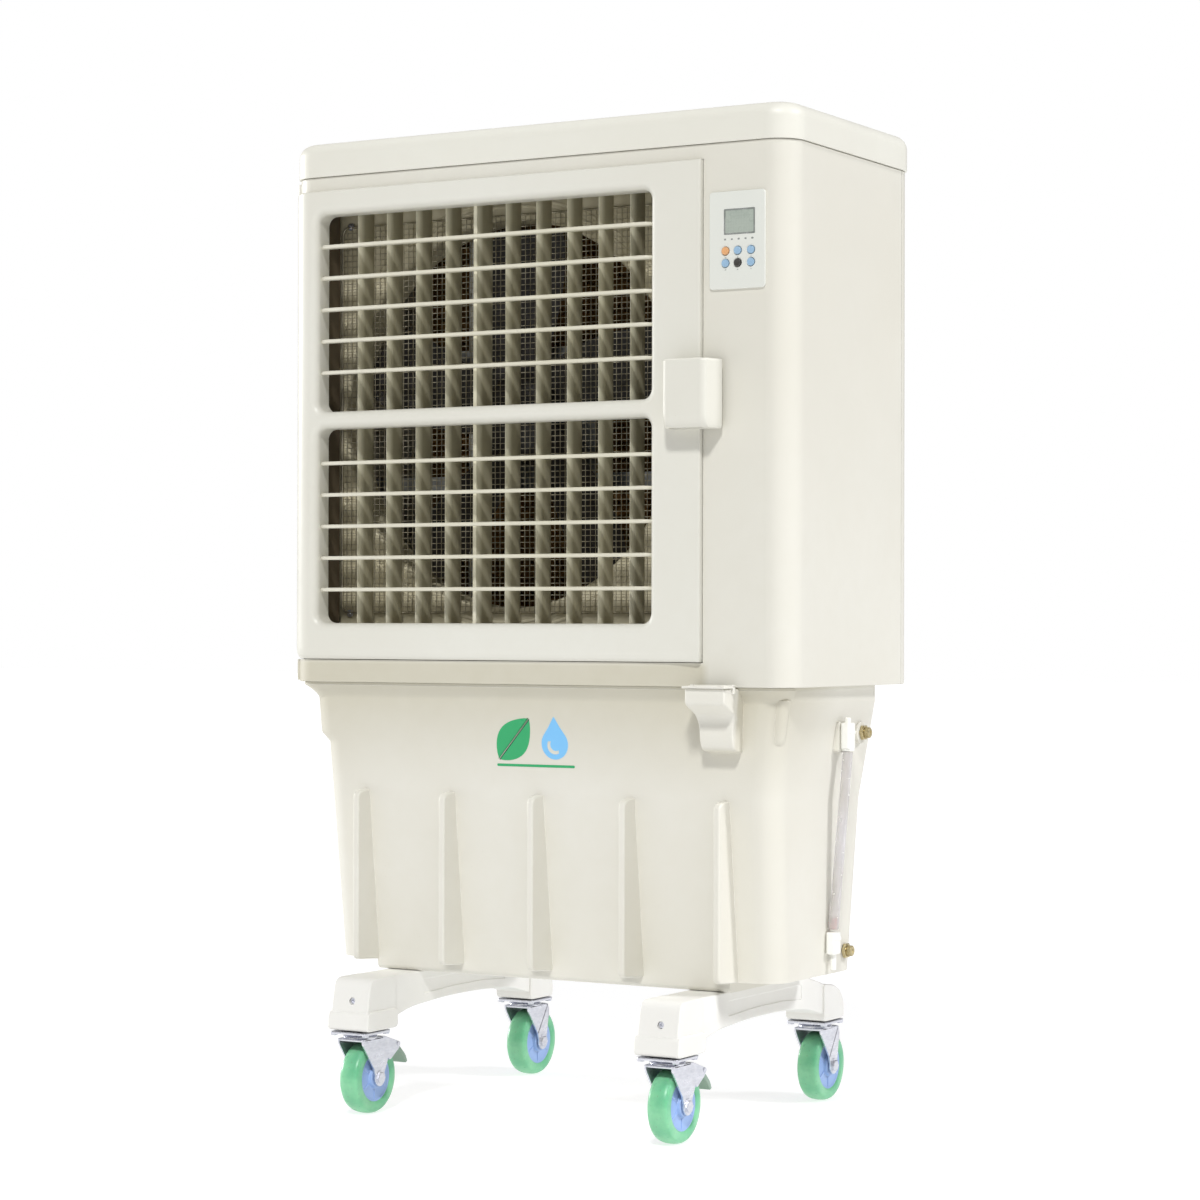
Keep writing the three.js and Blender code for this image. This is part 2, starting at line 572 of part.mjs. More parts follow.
function frontDoor() {
  const { bottom, top } = DOOR;
  const skin = cut(alongZ(doorOutline(), bottom, top),
    alongZ(doorOutline(WALL), bottom + WALL, top - WALL));
  const reveals = windows.map((name) => alongY(windowRing(...WINDOW_Z[name], WALL), DOOR.front, DOOR.back));
  const holes = windows.map((name) => alongY(windowRing(...WINDOW_Z[name], 0),
    DOOR.front - 1, DOOR.back + 1));
  const plate = alongY(rectangle(DUCT.left, DUCT.right, DUCT.bottom, DUCT.top), DOOR.back - WALL, DOOR.back);
  const knuckle = rodZ(HINGE.x, HINGE.y, HINGE.knuckle, bottom, top);
  const hingeHole = rodZ(HINGE.x, HINGE.y, HINGE.hole, bottom - 1, top + 1);
  const mullion = box(MULLION.x - MULLION.half, MULLION.x + MULLION.half, DOOR.back - 1, DUCT.back,
    DUCT.bottom + 1, DUCT.top - 1);
  const pinHoles = windows.flatMap((name) => [...Array(H_VANES).keys()].map((place) => rodX(
    H_VANE.pivot, hVaneZ(name, place), H_VANE.hole, WINDOW.left - 3.4, WINDOW.right + 3.4, 8)));
  const vanePinHoles = vanePlaces.map((place) => rodZ(
    vaneX(place), V_VANE.pivot, V_VANE.hole, DUCT.bottom + 0.6, DUCT.top - 0.6, 8));
  return cut(join(skin, ...reveals, plate, ductRing(), mullion, knuckle, latchLug()),
    ...holes, hingeHole, ...pinHoles, ...vanePinHoles);
}

piece('front_door', frontDoor(), FINISH.doorIvory);

function doorLatch() {
  const { left, right, bottom, top, front } = LATCH;
  const { x, y, barrel, hole, pinHalf, lugHalf } = LATCH_PIVOT;
  const back = DOOR.front - GAP;
  const block = alongZ([
    ...arc(x, y, barrel, 90, 180, 4), [left, front + 4], [left + 4, front], [right - 14, front],
    [right - 11, front + 3], [right, back],
  ].map(([u, v]) => [u, Math.min(v, back)]), bottom, top);
  const fingerHollow = alongX([
    [front + 5, bottom - 1], [back - 5, bottom - 1], [back - 5, bottom + 10], [front + 12, bottom + 22],
    [front + 5, bottom + 14],
  ], left + 8, right - 16);
  const lugRoom = box(left - 3, x + 13, y - 11, back + 1,
    latchMiddle - lugHalf - 0.5, latchMiddle + lugHalf + 0.5);
  const pinHole = rodZ(x, y, hole, latchMiddle - pinHalf - 1, latchMiddle + pinHalf + 1);
  return cut(block, fingerHollow, lugRoom, pinHole);
}

piece('door_latch', doorLatch(), FINISH.doorIvory);

// ---------------------------------------------------------------- vanes

function horizontalVane() {
  const { front, back, pivot, pin } = H_VANE;
  const blade = alongX([
    [front, -1.8], [front + 1.5, -2.8], [front + 9, -2.2], [back, -0.9],
    [back, 0.9], [front + 9, 2.2], [front + 1.5, 2.8], [front, 1.8],
  ], WINDOW.left + 0.6, WINDOW.right - 0.6);
  return join(blade, rodX(pivot, 0, pin, WINDOW.left - 3, WINDOW.right + 3, 8));
}

const hVaneBody = horizontalVane();
for (const window of windows) {
  for (let place = 0; place < H_VANES; place += 1) {
    piece(`h_vane_${window}_${place + 1}`, hVaneBody, FINISH.vane, [0, 0, hVaneZ(window, place)]);
  }
}

function verticalVane() {
  const { front, back, pivot, pin } = V_VANE;
  const blade = alongZ([
    [-1, front], [1, front], [2, pivot - 6], [2, pivot + 6], [1, back], [-1, back],
    [-2, pivot + 6], [-2, pivot - 6],
  ], DUCT.bottom + WALL + 0.5, DUCT.top - WALL - 0.5);
  return join(blade, rodZ(0, pivot, pin, DUCT.bottom + 1, DUCT.top - 1, 8));
}

const vVaneBody = verticalVane();
vanePlaces.forEach((place, index) => {
  piece(`v_vane_${index + 1}`, vVaneBody, FINISH.vane, [vaneX(place), 0, 0]);
});

// ---------------------------------------------------------------- control panel

function controlPanel() {
  const edge = roundedRectangle(PANEL.left, PANEL.right, PANEL.bottom, PANEL.top, 5, 3);
  const plate = alongY(edge, PANEL.front, HOUSING.front - GAP);
  const screen = alongY(rectangle(SCREEN.left, SCREEN.right, SCREEN.bottom, SCREEN.top),
    PANEL.front - 1, PANEL.front + 1.2);
  const holes = BUTTON.x.flatMap((x) => BUTTON.z.map((z) => rodY(
    x, z, BUTTON.radius + 0.5, PANEL.front - 1, HOUSING.front + 1, 14)));
  return cut(plate, screen, ...holes);
}

piece('control_panel', controlPanel(), FINISH.panel);

const buttonFinish = [[FINISH.orange, FINISH.blue, FINISH.blue], [FINISH.blue, FINISH.black, FINISH.blue]];
const buttonBody = rodY(0, 0, BUTTON.radius, BUTTON.front, BUTTON.back, 14);
BUTTON.z.forEach((z, row) => BUTTON.x.forEach((x, column) => {
  piece(`button_${row * BUTTON.x.length + column + 1}`, buttonBody, buttonFinish[row][column], [x, 0, z]);
}));

// ---------------------------------------------------------------- support beams and casters

function beam() {
  const spine = alongX([
    [-205, 128], [-150, 141], [-60, 147], [40, 147], [120, 141], [168, 128], [205, 128],
    [205, 160], [150, 178], [98, BEAM.top], [-134, BEAM.top], [-205, BEAM.top],
  ], -BEAM.half, BEAM.half);
  const frontBlock = alongX([
    [-262, 142], [-190, 142], [-190, BEAM.top], [-250, BEAM.top], [-256, 184],
  ], -BEAM.blockHalf, BEAM.blockHalf);
  const frontFoot = box(-BEAM.footHalf, BEAM.footHalf, -266, -190, BEAM.foot, 142);
  const rearFoot = alongX([
    [165, BEAM.foot], [229, BEAM.foot], [229, 142], [219, 158], [198, 168], [165, 172],
  ], -BEAM.blockHalf, BEAM.blockHalf);
  const plates = [SWIVEL_Y.front, SWIVEL_Y.rear].map((y) => box(-BEAM.blockHalf, BEAM.blockHalf,
    y - BEAM.blockHalf, y + BEAM.blockHalf, BEAM.plateBottom, BEAM.foot + 1));
  return join(spine, frontBlock, frontFoot, rearFoot, ...plates);
}

const beamBody = beam();

/** Round the swivel axis, with the wheel trailing towards +Y. */
function fork(braked) {
  const { trail, wheel, axle, legIn, legOut, crownBottom, crownTop, race, head, headOut } = CASTER;
  const leg = [
    [-24, crownTop], [-24, 100], [trail - 12, 62], ...arc(trail, wheel, 12, 135, 390, 8),
    ...(braked ? [[46, 80], [PEDAL.y + 3, PEDAL.z - 6], [PEDAL.y + 6, PEDAL.z + 2]] : [[34, 84], [36, 98]]),
    [30, crownTop],
  ];
  const parts = [
    alongX(leg, legIn, legOut),
    alongX(leg, -legOut, -legIn),
    rodZ(0, 0, race, crownTop - 0.5, BEAM.plateBottom - GAP, 20),
    rodX(trail, wheel, axle, -legOut, legOut, 16),
    rodX(trail, wheel, head, -headOut, -legOut + 0.5, 6),
    rodX(trail, wheel, head, legOut - 0.5, headOut, 6),
  ];
  if (braked) {
    parts.push(rodX(PEDAL.y, PEDAL.z, PEDAL.pin, -PEDAL.pinHalf, PEDAL.pinHalf, 8));
  }
  return join(box(-legOut, legOut, -24, 30, crownBottom, crownTop), ...parts);
}

/** A rim and tyre round its own axis, which is X. */
function casterWheel() {
  const { wheel, width, hubHalf, bore } = CASTER;
  const half = width / 2;
  const side = [
    [bore, -hubHalf], [14, -hubHalf], [16, -12], [32, -12], [33, -half], [44, -half], [wheel, -7],
  ];
  const mirrored = side.map(([r, x]) => [r, -x]).reverse();
  const profile = [...side, ...mirrored, side[0]].map(([r, x]) => new THREE.Vector2(r, x));
  const spun = new THREE.LatheGeometry(profile, 20).rotateZ(-Math.PI / 2).rotateX(Math.PI / 2);
  return solid(spun);
}

/** Round the pedal's own pin, which is X. */
function brakePedal() {
  const { half } = PEDAL;
  const barrel = rodX(0, 0, PEDAL.barrel, -half, half);
  const plate = alongX([
    [0, 4.4], [-1, 0], [2, -3], [25, -23], [31, -31], [34, -29], [29, -20], [6, 3],
  ], -half, half);
  const cam = alongX([[-4, -1], [-2.5, -8.5], [1.5, -8.5], [3, -1]], -half + 2, half - 2);
  return cut(join(barrel, plate, cam), rodX(0, 0, PEDAL.hole, -half - 1, half + 1));
}

const forkBody = { front: fork(true), rear: fork(false) };
const wheelBody = casterWheel();
const pedalBody = brakePedal();
for (const [side, x] of [['left', -BEAM_X], ['right', BEAM_X]]) {
  piece(`beam_${side}`, beamBody, FINISH.beam, [x, 0, 0]);
  for (const end of ['front', 'rear']) {
    const caster = new THREE.Group();
    caster.position.set(x, SWIVEL_Y[end], 0);
    group.add(caster);
    piece(`caster_fork_${end}_${side}`, forkBody[end], FINISH.zinc, [0, 0, 0], caster);
    piece(`caster_wheel_${end}_${side}`, wheelBody, FINISH.tyre, [0, CASTER.trail, CASTER.wheel], caster);
    if (end === 'front') {
      piece(`brake_pedal_${side}`, pedalBody, FINISH.pedal, [0, PEDAL.y, PEDAL.z], caster);
    }
  }
}

export default group;
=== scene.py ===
"""The looks of a portable evaporative air cooler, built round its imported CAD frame.

Shapes are written in millimetres in the frame's own axes (+Z up, -Y front, +X the control side)
and become metres when a mesh is made.
"""

import math

import bmesh
import bpy
from mathutils import Matrix, Vector


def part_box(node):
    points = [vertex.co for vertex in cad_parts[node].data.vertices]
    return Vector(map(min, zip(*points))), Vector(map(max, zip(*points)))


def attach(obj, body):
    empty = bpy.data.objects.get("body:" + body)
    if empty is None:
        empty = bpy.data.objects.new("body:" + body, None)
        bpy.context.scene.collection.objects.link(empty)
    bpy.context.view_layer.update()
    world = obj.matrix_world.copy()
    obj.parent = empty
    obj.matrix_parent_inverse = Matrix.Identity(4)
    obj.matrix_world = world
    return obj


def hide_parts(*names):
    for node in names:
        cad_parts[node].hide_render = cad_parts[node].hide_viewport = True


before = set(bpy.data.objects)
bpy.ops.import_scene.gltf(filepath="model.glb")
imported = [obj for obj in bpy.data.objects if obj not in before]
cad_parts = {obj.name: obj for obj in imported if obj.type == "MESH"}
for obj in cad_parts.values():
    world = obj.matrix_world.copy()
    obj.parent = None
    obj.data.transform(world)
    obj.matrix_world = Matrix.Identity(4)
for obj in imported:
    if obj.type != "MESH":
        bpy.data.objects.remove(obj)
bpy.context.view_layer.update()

MM = 0.001
scene = bpy.context.scene


def node_box(node):
    """A CAD node's lowest and highest corners, in millimetres."""
    low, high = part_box(node)
    return low / MM, high / MM


# ---------------------------------------------------------------- sizes

CABINET_LOW, CABINET_HIGH = node_box("cabinet")
COVER_LOW, COVER_HIGH = node_box("top_cover")
DOOR_LOW, DOOR_HIGH = node_box("front_door")
LATCH_LOW, LATCH_HIGH = node_box("door_latch")
PANEL_LOW, PANEL_HIGH = node_box("control_panel")
PLATE_LOW, PLATE_HIGH = node_box("fan_plate")
GUARD_LOW, GUARD_HIGH = node_box("fan_guard")
FAN_LOW, FAN_HIGH = node_box("fan_impeller")
PAD_LOW, PAD_HIGH = node_box("cooling_pad")
MOTOR_BACK = node_box("fan_motor")[1].y
PUMP_BOTTOM = node_box("water_pump")[0].z

HALF_X = CABINET_HIGH.x
FRONT, BACK = CABINET_LOW.y, 190.0
HOUSING_BOTTOM, HOUSING_TOP = CABINET_LOW.z, 1309.0
CORNER = 38.0                      # the housing's upright corners
WALL = 4.0                         # moulded walls
SEAM_Y = 150.0                     # cabinet and rear frame meet here
JAMB_Y = -155.0

DOOR_FRONT, DOOR_BACK = -198.0, -166.0
DOOR_RIGHT = 269.0
DOOR_GAP = 0.9
HINGE_X, HINGE_Y = -388.0, -166.0
WINDOW_LEFT, WINDOW_RIGHT, WINDOW_CORNER = -348.0, 192.0, 14.0
WINDOWS = {"lower": (679.0, 953.0), "upper": (977.0, 1255.0)}
DUCT = (-362.0, 207.0, 671.0, 1273.0)       # left, right, bottom, top
DUCT_BACK = DOOR_HIGH.y
MULLION_X = -102.0

FAN_X, FAN_Z, FAN_OPENING = -82.0, 970.0, 270.0
FAN_CENTRE = (FAN_X, 0, FAN_Z)

TANK_BOTTOM, TANK_TOP = 190.0, 595.7
TANK_CORNER, TANK_WALL = 35.0, 5.0
GAUGE_TOP_X, GAUGE_BOTTOM_X, GAUGE_Y = 383.5, 362.2, 12.0
OVERFLOW_X, OVERFLOW_Y, OVERFLOW_Z = 376.3, 72.0, 531
DRAIN_X, DRAIN_Y, DRAIN_Z = 355, 62, 233
SCOOP_LEFT, SCOOP_RIGHT = 262.0, 321.0
LID_PIVOT_Y, LID_PIVOT_Z = -203.0, 597.2
RIM_HALF, RIM_FRONT = 391.0, -185.0
FIN_PITCH = 143.5
BEAM_X = 243.0
SWIVEL_Y = {"front": -234.0, "rear": 198.0}
WHEEL_RADIUS, TRAIL = 50.0, 18.0
PEDAL_Y, PEDAL_Z = 62, 92             # from the swivel, and from the floor


# ---------------------------------------------------------------- outlines

def arc(u, v, radius, start, end, steps):
    """Points of an arc, angles in degrees."""
    angles = [math.radians(start + (end - start) * i / steps) for i in range(steps + 1)]
    return [(u + radius * math.cos(a), v + radius * math.sin(a)) for a in angles]


def circle(u, v, radius, sides=32):
    return arc(u, v, radius, 0, 360 * (1 - 1 / sides), sides - 1)


def rounded(u0, u1, v0, v1, radius, steps=10):
    """A rectangle with round corners."""
    r = radius
    return (arc(u1 - r, v1 - r, r, 0, 90, steps) + arc(u0 + r, v1 - r, r, 90, 180, steps)
            + arc(u0 + r, v0 + r, r, 180, 270, steps) + arc(u1 - r, v0 + r, r, 270, 360, steps))


def rectangle(u0, u1, v0, v1):
    return [(u0, v0), (u1, v0), (u1, v1), (u0, v1)]


def quarter(steps):
    """(sine, cosine) pairs over a right angle."""
    turns = [math.radians(90 * k / steps) for k in range(steps + 1)]
    return [(math.sin(turn), math.cos(turn)) for turn in turns]


def softened(points, radius, steps=4):
    """A polygon with its corners rounded: one radius, or one for each corner."""
    radii = radius if isinstance(radius, (list, tuple)) else [radius] * len(points)
    result = []
    for i, corner in enumerate(points):
        here = Vector(corner)
        before, after = Vector(points[i - 1]), Vector(points[(i + 1) % len(points)])
        if radii[i] <= 0:
            result.append(tuple(here))
            continue
        reach = min(radii[i], (before - here).length * 0.45, (after - here).length * 0.45)
        first = here + (before - here).normalized() * reach
        last = here + (after - here).normalized() * reach
        for k in range(steps + 1):
            t = k / steps
            result.append(tuple(first * (1 - t) ** 2 + here * (2 * t * (1 - t)) + last * t * t))
    return result


def inset(points, distance):
    """The outline moved inwards."""
    count = len(points)
    area = sum(points[i - 1][0] * points[i][1] - points[i][0] * points[i - 1][1] for i in range(count))
    side = 1 if area > 0 else -1
    moved = []
    for i in range(count):
        here = Vector(points[i])
        before = (here - Vector(points[i - 1])).normalized()
        after = (Vector(points[(i + 1) % count]) - here).normalized()
        first, second = Vector((-before.y, before.x)), Vector((-after.y, after.x))
        miter = (first + second) / max(1 + first.dot(second), 0.3)
        moved.append(tuple(here + miter * (distance * side)))
    return moved


# ---------------------------------------------------------------- shapes: (points, faces)

def at(axis, along, u, v):
    """A point from its place along an axis and in the plane across it."""
    if axis == "x":
        return (along, u, v)
    if axis == "y":
        return (u, along, v)
    return (u, v, along)


def lift(outline, axis, along):
    """An outline set at one place along an axis."""
    return [at(axis, along, u, v) for u, v in outline]


def loft(rings, closed=False):
    """A skin over rings of equal point count, capped at both ends, or joined end to end."""
    count = len(rings[0])
    points = [p for ring in rings for p in ring]
    faces = []
    spans = len(rings) if closed else len(rings) - 1
    for r in range(spans):
        a, b = r * count, ((r + 1) % len(rings)) * count
        for i in range(count):
            j = (i + 1) % count
            faces.append((a + i, a + j, b + j, b + i))
    if not closed:
        faces.append(tuple(range(count))[::-1])
        faces.append(tuple(range(len(points) - count, len(points))))
    return points, faces


def prism(points, axis, start, end, edge=1.0, steps=3):
    """An outline pushed along an axis, with its end edges rounded."""
    stations = [(0, 0)]
    if edge > 0:
        stations = [(edge * (1 - cosine), edge * (1 - sine)) for sine, cosine in quarter(steps)]
    levels = [(start + depth, inwards) for depth, inwards in stations]
    levels += [(end - depth, inwards) for depth, inwards in reversed(stations)]
    return loft([lift(inset(points, inwards) if inwards > 1e-6 else points, axis, along)
                 for along, inwards in levels])


def block(x0, x1, y0, y1, z0, z1, corner=2.0, edge=1.0, axis="z"):
    """A box with round edges, its rounder corners along the axis."""
    spans = {"x": (x0, x1), "y": (y0, y1), "z": (z0, z1)}
    start, end = spans.pop(axis)
    (u0, u1), (v0, v1) = spans.values()
    outline = rounded(u0, u1, v0, v1, corner, 4) if corner > 0 else rectangle(u0, u1, v0, v1)
    return prism(outline, axis, start, end, edge, 2 if edge > 0 else 0)


def lathe(profile, axis="z", centre=(0, 0, 0), sides=40):
    """(radius, along) points spun round an axis. The profile starts and ends on it, or closes."""
    rings = [lift(circle(0, 0, radius, sides), axis, along) for radius, along in profile]
    on_axis = profile[0][0] < 1e-6 and profile[-1][0] < 1e-6
    points, faces = loft(rings, closed=not on_axis)
    if on_axis:
        faces = faces[:-2]
    return moved((points, faces), centre)


def cylinder(radius, start, end, axis="z", centre=(0, 0, 0), sides=40):
    """A plain round bar, or the hole for one."""
    return lathe([(0, start), (radius, start), (radius, end), (0, end)], axis, centre, sides)


def tube(path, radius, sides=12):
    """A round bar along a path of points."""
    path = [Vector(p) for p in path]
    tangents = []
    for i in range(len(path)):
        before, after = path[max(i - 1, 0)], path[min(i + 1, len(path) - 1)]
        tangents.append((after - before).normalized())
    side = tangents[0].orthogonal().normalized()
    rings = []
    for point, tangent in zip(path, tangents):
        side = (side - tangent * side.dot(tangent)).normalized()
        other = tangent.cross(side)
        rings.append([tuple(point + (side * u + other * v)) for u, v in circle(0, 0, radius, sides)])
    return loft(rings)


def bent(points, radius, steps=6):
    """A path through corner points, each corner turned into a smooth bend."""
    path = [Vector(points[0])]
    for before, here, after in zip(points, points[1:], points[2:]):
        before, here, after = Vector(before), Vector(here), Vector(after)
        first = here + (before - here).normalized() * radius
        last = here + (after - here).normalized() * radius
        for k in range(steps + 1):
            t = k / steps
            path.append(first * (1 - t) ** 2 + here * (2 * t * (1 - t)) + last * t * t)
    path.append(Vector(points[-1]))
    return path


def moved(shape, offset):
    points, faces = shape
    dx, dy, dz = offset
    return [(x + dx, y + dy, z + dz) for x, y, z in points], faces


def turned(shape, matrix):
    points, faces = shape
    return [tuple(matrix @ Vector(p)) for p in points], faces


def spun(shape, axis, degrees, centre=(0, 0, 0)):
    centre = Vector(centre)
    turn = Matrix.Translation(centre) @ Matrix.Rotation(math.radians(degrees), 4, axis)
    return turned(shape, turn @ Matrix.Translation(-centre))


def merged(*shapes):
    """Several closed shapes as one."""
    points, faces = [], []
    for shape_points, shape_faces in shapes:
        start = len(points)
        points.extend(shape_points)
        faces.extend(tuple(start + i for i in face) for face in shape_faces)
    return points, faces


# ---------------------------------------------------------------- objects

def make(name, *shapes):
    """A mesh object of one or more closed shapes."""
    points, faces = merged(*shapes)
    mesh = bpy.data.meshes.new(name)
    mesh.from_pydata([[c * MM for c in p] for p in points], [], faces)
    work = bmesh.new()
    work.from_mesh(mesh)
    bmesh.ops.remove_doubles(work, verts=work.verts, dist=1e-6)
    bmesh.ops.recalc_face_normals(work, faces=work.faces)
    work.to_mesh(mesh)
    work.free()
    result = bpy.data.objects.new(name, mesh)
    scene.collection.objects.link(result)
    return result


def boolean(target, tool, operation):
    modifier = target.modifiers.new("work", "BOOLEAN")
    modifier.solver = "MANIFOLD"
    modifier.operation = operation
    modifier.object = tool
    bpy.context.view_layer.update()
    evaluated = target.evaluated_get(bpy.context.evaluated_depsgraph_get())
    mesh = bpy.data.meshes.new_from_object(evaluated)
    target.modifiers.clear()
    old = target.data
    target.data = mesh
    bpy.data.meshes.remove(old)
    spent = tool.data
    bpy.data.objects.remove(tool)
    bpy.data.meshes.remove(spent)


def join(target, *shapes):
    for shape in shapes:
        boolean(target, make("work", shape), "UNION")


def cut(target, *shapes):
    for shape in shapes:
        boolean(target, make("work", shape), "DIFFERENCE")


def carved(name, solids, hollows=()):
    """An object of solids joined into one, with hollows cut out of it."""
    target = make(name, solids[0])
    join(target, *solids[1:])
    cut(target, *hollows)
    return target


def piece(target, body, finish, replaces=(), smooth=38):
    """Gives an object its finish and its place in the frame."""
    target.data.materials.clear()
    target.data.materials.append(finish)
    target.data.shade_smooth()
    target.data.set_sharp_from_angle(angle=math.radians(smooth))
    weighted = target.modifiers.new("normals", "WEIGHTED_NORMAL")
    weighted.keep_sharp = True
    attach(target, body)
    if replaces:
        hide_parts(*replaces)
    return target


def twin(source, name, location):
    """Another object with the same mesh, placed in millimetres."""
    copy = bpy.data.objects.new(name, source.data)
    copy.location = Vector(location) * MM
    scene.collection.objects.link(copy)
    return copy


# ---------------------------------------------------------------- finishes

def linear(colour):
    """An sRGB colour, as 0xrrggbb, in the renderer's linear values."""
    channels = [((colour >> shift) & 255) / 255 for shift in (16, 8, 0)]
    return [c / 12.92 if c <= 0.04045 else ((c + 0.055) / 1.055) ** 2.4 for c in channels] + [1.0]


class Finish:
    """A node material on one principled shader."""

    def __init__(self, name):
        self.material = bpy.data.materials.new(name)
        self.material.use_nodes = True
        self.tree = self.material.node_tree
        self.shader = self.tree.nodes["Principled BSDF"]
        self.coords = self.add("ShaderNodeTexCoord")

    def add(self, kind, **values):
        node = self.tree.nodes.new(kind)
        for key, value in values.items():
            setattr(node, key, value)
        return node

    def link(self, output, target):
        self.tree.links.new(output, target)

    def noise(self, scale, detail=3.0, stretch=(1, 1, 1), roughness=0.55):
        """Noise in the object's own space, scale in features per metre."""
        mapping = self.add("ShaderNodeMapping")
        mapping.inputs["Scale"].default_value = stretch
        self.link(self.coords.outputs["Object"], mapping.inputs["Vector"])
        node = self.add("ShaderNodeTexNoise")
        node.inputs["Scale"].default_value = scale
        node.inputs["Detail"].default_value = detail
        node.inputs["Roughness"].default_value = roughness
        self.link(mapping.outputs["Vector"], node.inputs["Vector"])
        return node.outputs["Fac"]

    def spread(self, value, low, high, new_low=0.0, new_high=1.0):
        node = self.add("ShaderNodeMapRange")
        for name, number in (("From Min", low), ("From Max", high), ("To Min", new_low),
                             ("To Max", new_high)):
            node.inputs[name].default_value = number
        self.link(value, node.inputs["Value"])
        return node.outputs["Result"]

    def mix(self, share, first, second, blend="MIX"):
        """Colours or sockets mixed by a share, which is a number or a socket."""
        node = self.add("ShaderNodeMix", data_type="RGBA", blend_type=blend)
        for value, target in ((share, node.inputs[0]), (first, node.inputs[6]), (second, node.inputs[7])):
            if isinstance(value, bpy.types.NodeSocket):
                self.link(value, target)
            else:
                target.default_value = value
        return node.outputs[2]

    def math(self, operation, first, second=0.5):
        node = self.add("ShaderNodeMath", operation=operation)
        for value, target in ((first, node.inputs[0]), (second, node.inputs[1])):
            if isinstance(value, bpy.types.NodeSocket):
                self.link(value, target)
            else:
                target.default_value = value
        return node.outputs[0]

    def edges(self, radius):
        """0 on flat stretches and 1 on edges, from how far a rounded normal turns away."""
        bevel = self.add("ShaderNodeBevel", samples=4)
        bevel.inputs["Radius"].default_value = radius * MM
        geometry = self.add("ShaderNodeNewGeometry")
        dot = self.add("ShaderNodeVectorMath", operation="DOT_PRODUCT")
        self.link(bevel.outputs["Normal"], dot.inputs[0])
        self.link(geometry.outputs["Normal"], dot.inputs[1])
        return self.spread(dot.outputs["Value"], 0.995, 0.9)

    def bump(self, height, strength, distance):
        node = self.add("ShaderNodeBump")
        node.inputs["Strength"].default_value = strength
        node.inputs["Distance"].default_value = distance * MM
        self.link(height, node.inputs["Height"])
        self.link(node.outputs["Normal"], self.shader.inputs["Normal"])

    def set(self, **values):
        for key, value in values.items():
            target = self.shader.inputs[key.replace("_", " ")]
            if isinstance(value, bpy.types.NodeSocket):
                self.link(value, target)
            else:
                target.default_value = value


def plastic(name, colour, shade, roughness=0.4, grain=700, relief=0.12, dust=0.0, wear=0xffffff,
            fade=None):
    """Moulded plastic: uneven tone, fine grain, scuffed edges, dust that settles low down, and painted
    shade where fade asks for it.
    """
    finish = Finish(name)
    tone = finish.spread(finish.noise(2.2, 2), 0.35, 0.7)
    base = finish.mix(tone, linear(colour), linear(shade))
    mottle = finish.spread(finish.noise(38, 4), 0.3, 0.75, 0.0, 0.35)
    base = finish.mix(mottle, base, linear(shade))
    specks = finish.spread(finish.noise(420, 2), 0.72, 0.8, 0.0, 0.25)
    base = finish.mix(specks, base, linear(0xa9a088))
    if dust:
        height = finish.add("ShaderNodeSeparateXYZ")
        finish.link(finish.coords.outputs["Object"], height.inputs[0])
        low = finish.spread(height.outputs["Z"], 0.45, 0.12, 0.0, dust)
        patches = finish.math("MULTIPLY", low, finish.spread(finish.noise(14, 5), 0.35, 0.65))
        base = finish.mix(patches, base, linear(0xb9b09a))
    # fade paints shade into the colour: a darker tint, masked by its limits to where the surface lies in
    # shade
    if fade:
        tint, amount, limits = fade
        place = finish.add("ShaderNodeSeparateXYZ")
        finish.link(finish.coords.outputs["Object"], place.inputs[0])
        shade_share = finish.spread(finish.noise(30, 3), 0.2, 0.8, 0.85 * amount, amount)
        for axis, unshaded, shaded in limits:
            shade_share = finish.math("MULTIPLY", shade_share, finish.spread(place.outputs[axis], unshaded, shaded))
        base = finish.mix(shade_share, base, linear(tint))
    scuffed = finish.math("MULTIPLY", finish.edges(1.2),
                          finish.spread(finish.noise(60, 4), 0.42, 0.62, 0.0, 0.5))
    base = finish.mix(scuffed, base, linear(wear))
    finish.set(Base_Color=base, IOR=1.49)
    smear = finish.spread(finish.noise(9, 5, roughness=0.65), 0.3, 0.7, roughness - 0.07,
                          roughness + 0.09)
    finish.set(Roughness=smear)
    fine = finish.noise(grain, 2)
    wavy = finish.noise(26, 1)
    height = finish.math("ADD", fine, finish.math("MULTIPLY", wavy, 3.0))
    finish.bump(height, relief, 0.35)
    return finish.material


def metal(name, colour, shade, roughness=0.3, stretch=(1, 1, 1), stain=0x6b6455, stained=0.35):
    """Plated or brushed metal with fine streaks and a little staining."""
    finish = Finish(name)
    streaks = finish.noise(320, 4, stretch)
    base = finish.mix(finish.spread(streaks, 0.3, 0.7), linear(colour), linear(shade))
    patches = finish.spread(finish.noise(48, 5), 0.52, 0.75, 0.0, stained)
    base = finish.mix(patches, base, linear(stain))
    finish.set(Base_Color=base, Metallic=0.92)
    finish.set(Roughness=finish.spread(finish.noise(90, 4, stretch), 0.3, 0.7, roughness - 0.08,
                                       roughness + 0.16))
    finish.bump(streaks, 0.14, 0.12)
    return finish.material


def urethane(name, colour, shade):
    """Cast wheel tread: glowing, slightly cloudy, with uneven gloss and road dust."""
    finish = Finish(name)
    cloudy = finish.spread(finish.noise(30, 4), 0.3, 0.7)
    base = finish.mix(cloudy, linear(colour), linear(shade))
    specks = finish.spread(finish.noise(260, 3), 0.62, 0.74, 0.0, 0.4)
    base = finish.mix(specks, base, linear(0x74806a))
    finish.set(Base_Color=base, Subsurface_Weight=0.25, Subsurface_Radius=(0.004, 0.008, 0.004))
    finish.set(Subsurface_Scale=1.0, IOR=1.5, Coat_Weight=0.2, Coat_Roughness=0.25)
    finish.set(Roughness=finish.spread(finish.noise(70, 5), 0.3, 0.7, 0.26, 0.5))
    finish.bump(finish.noise(300, 3), 0.15, 0.2)
    return finish.material


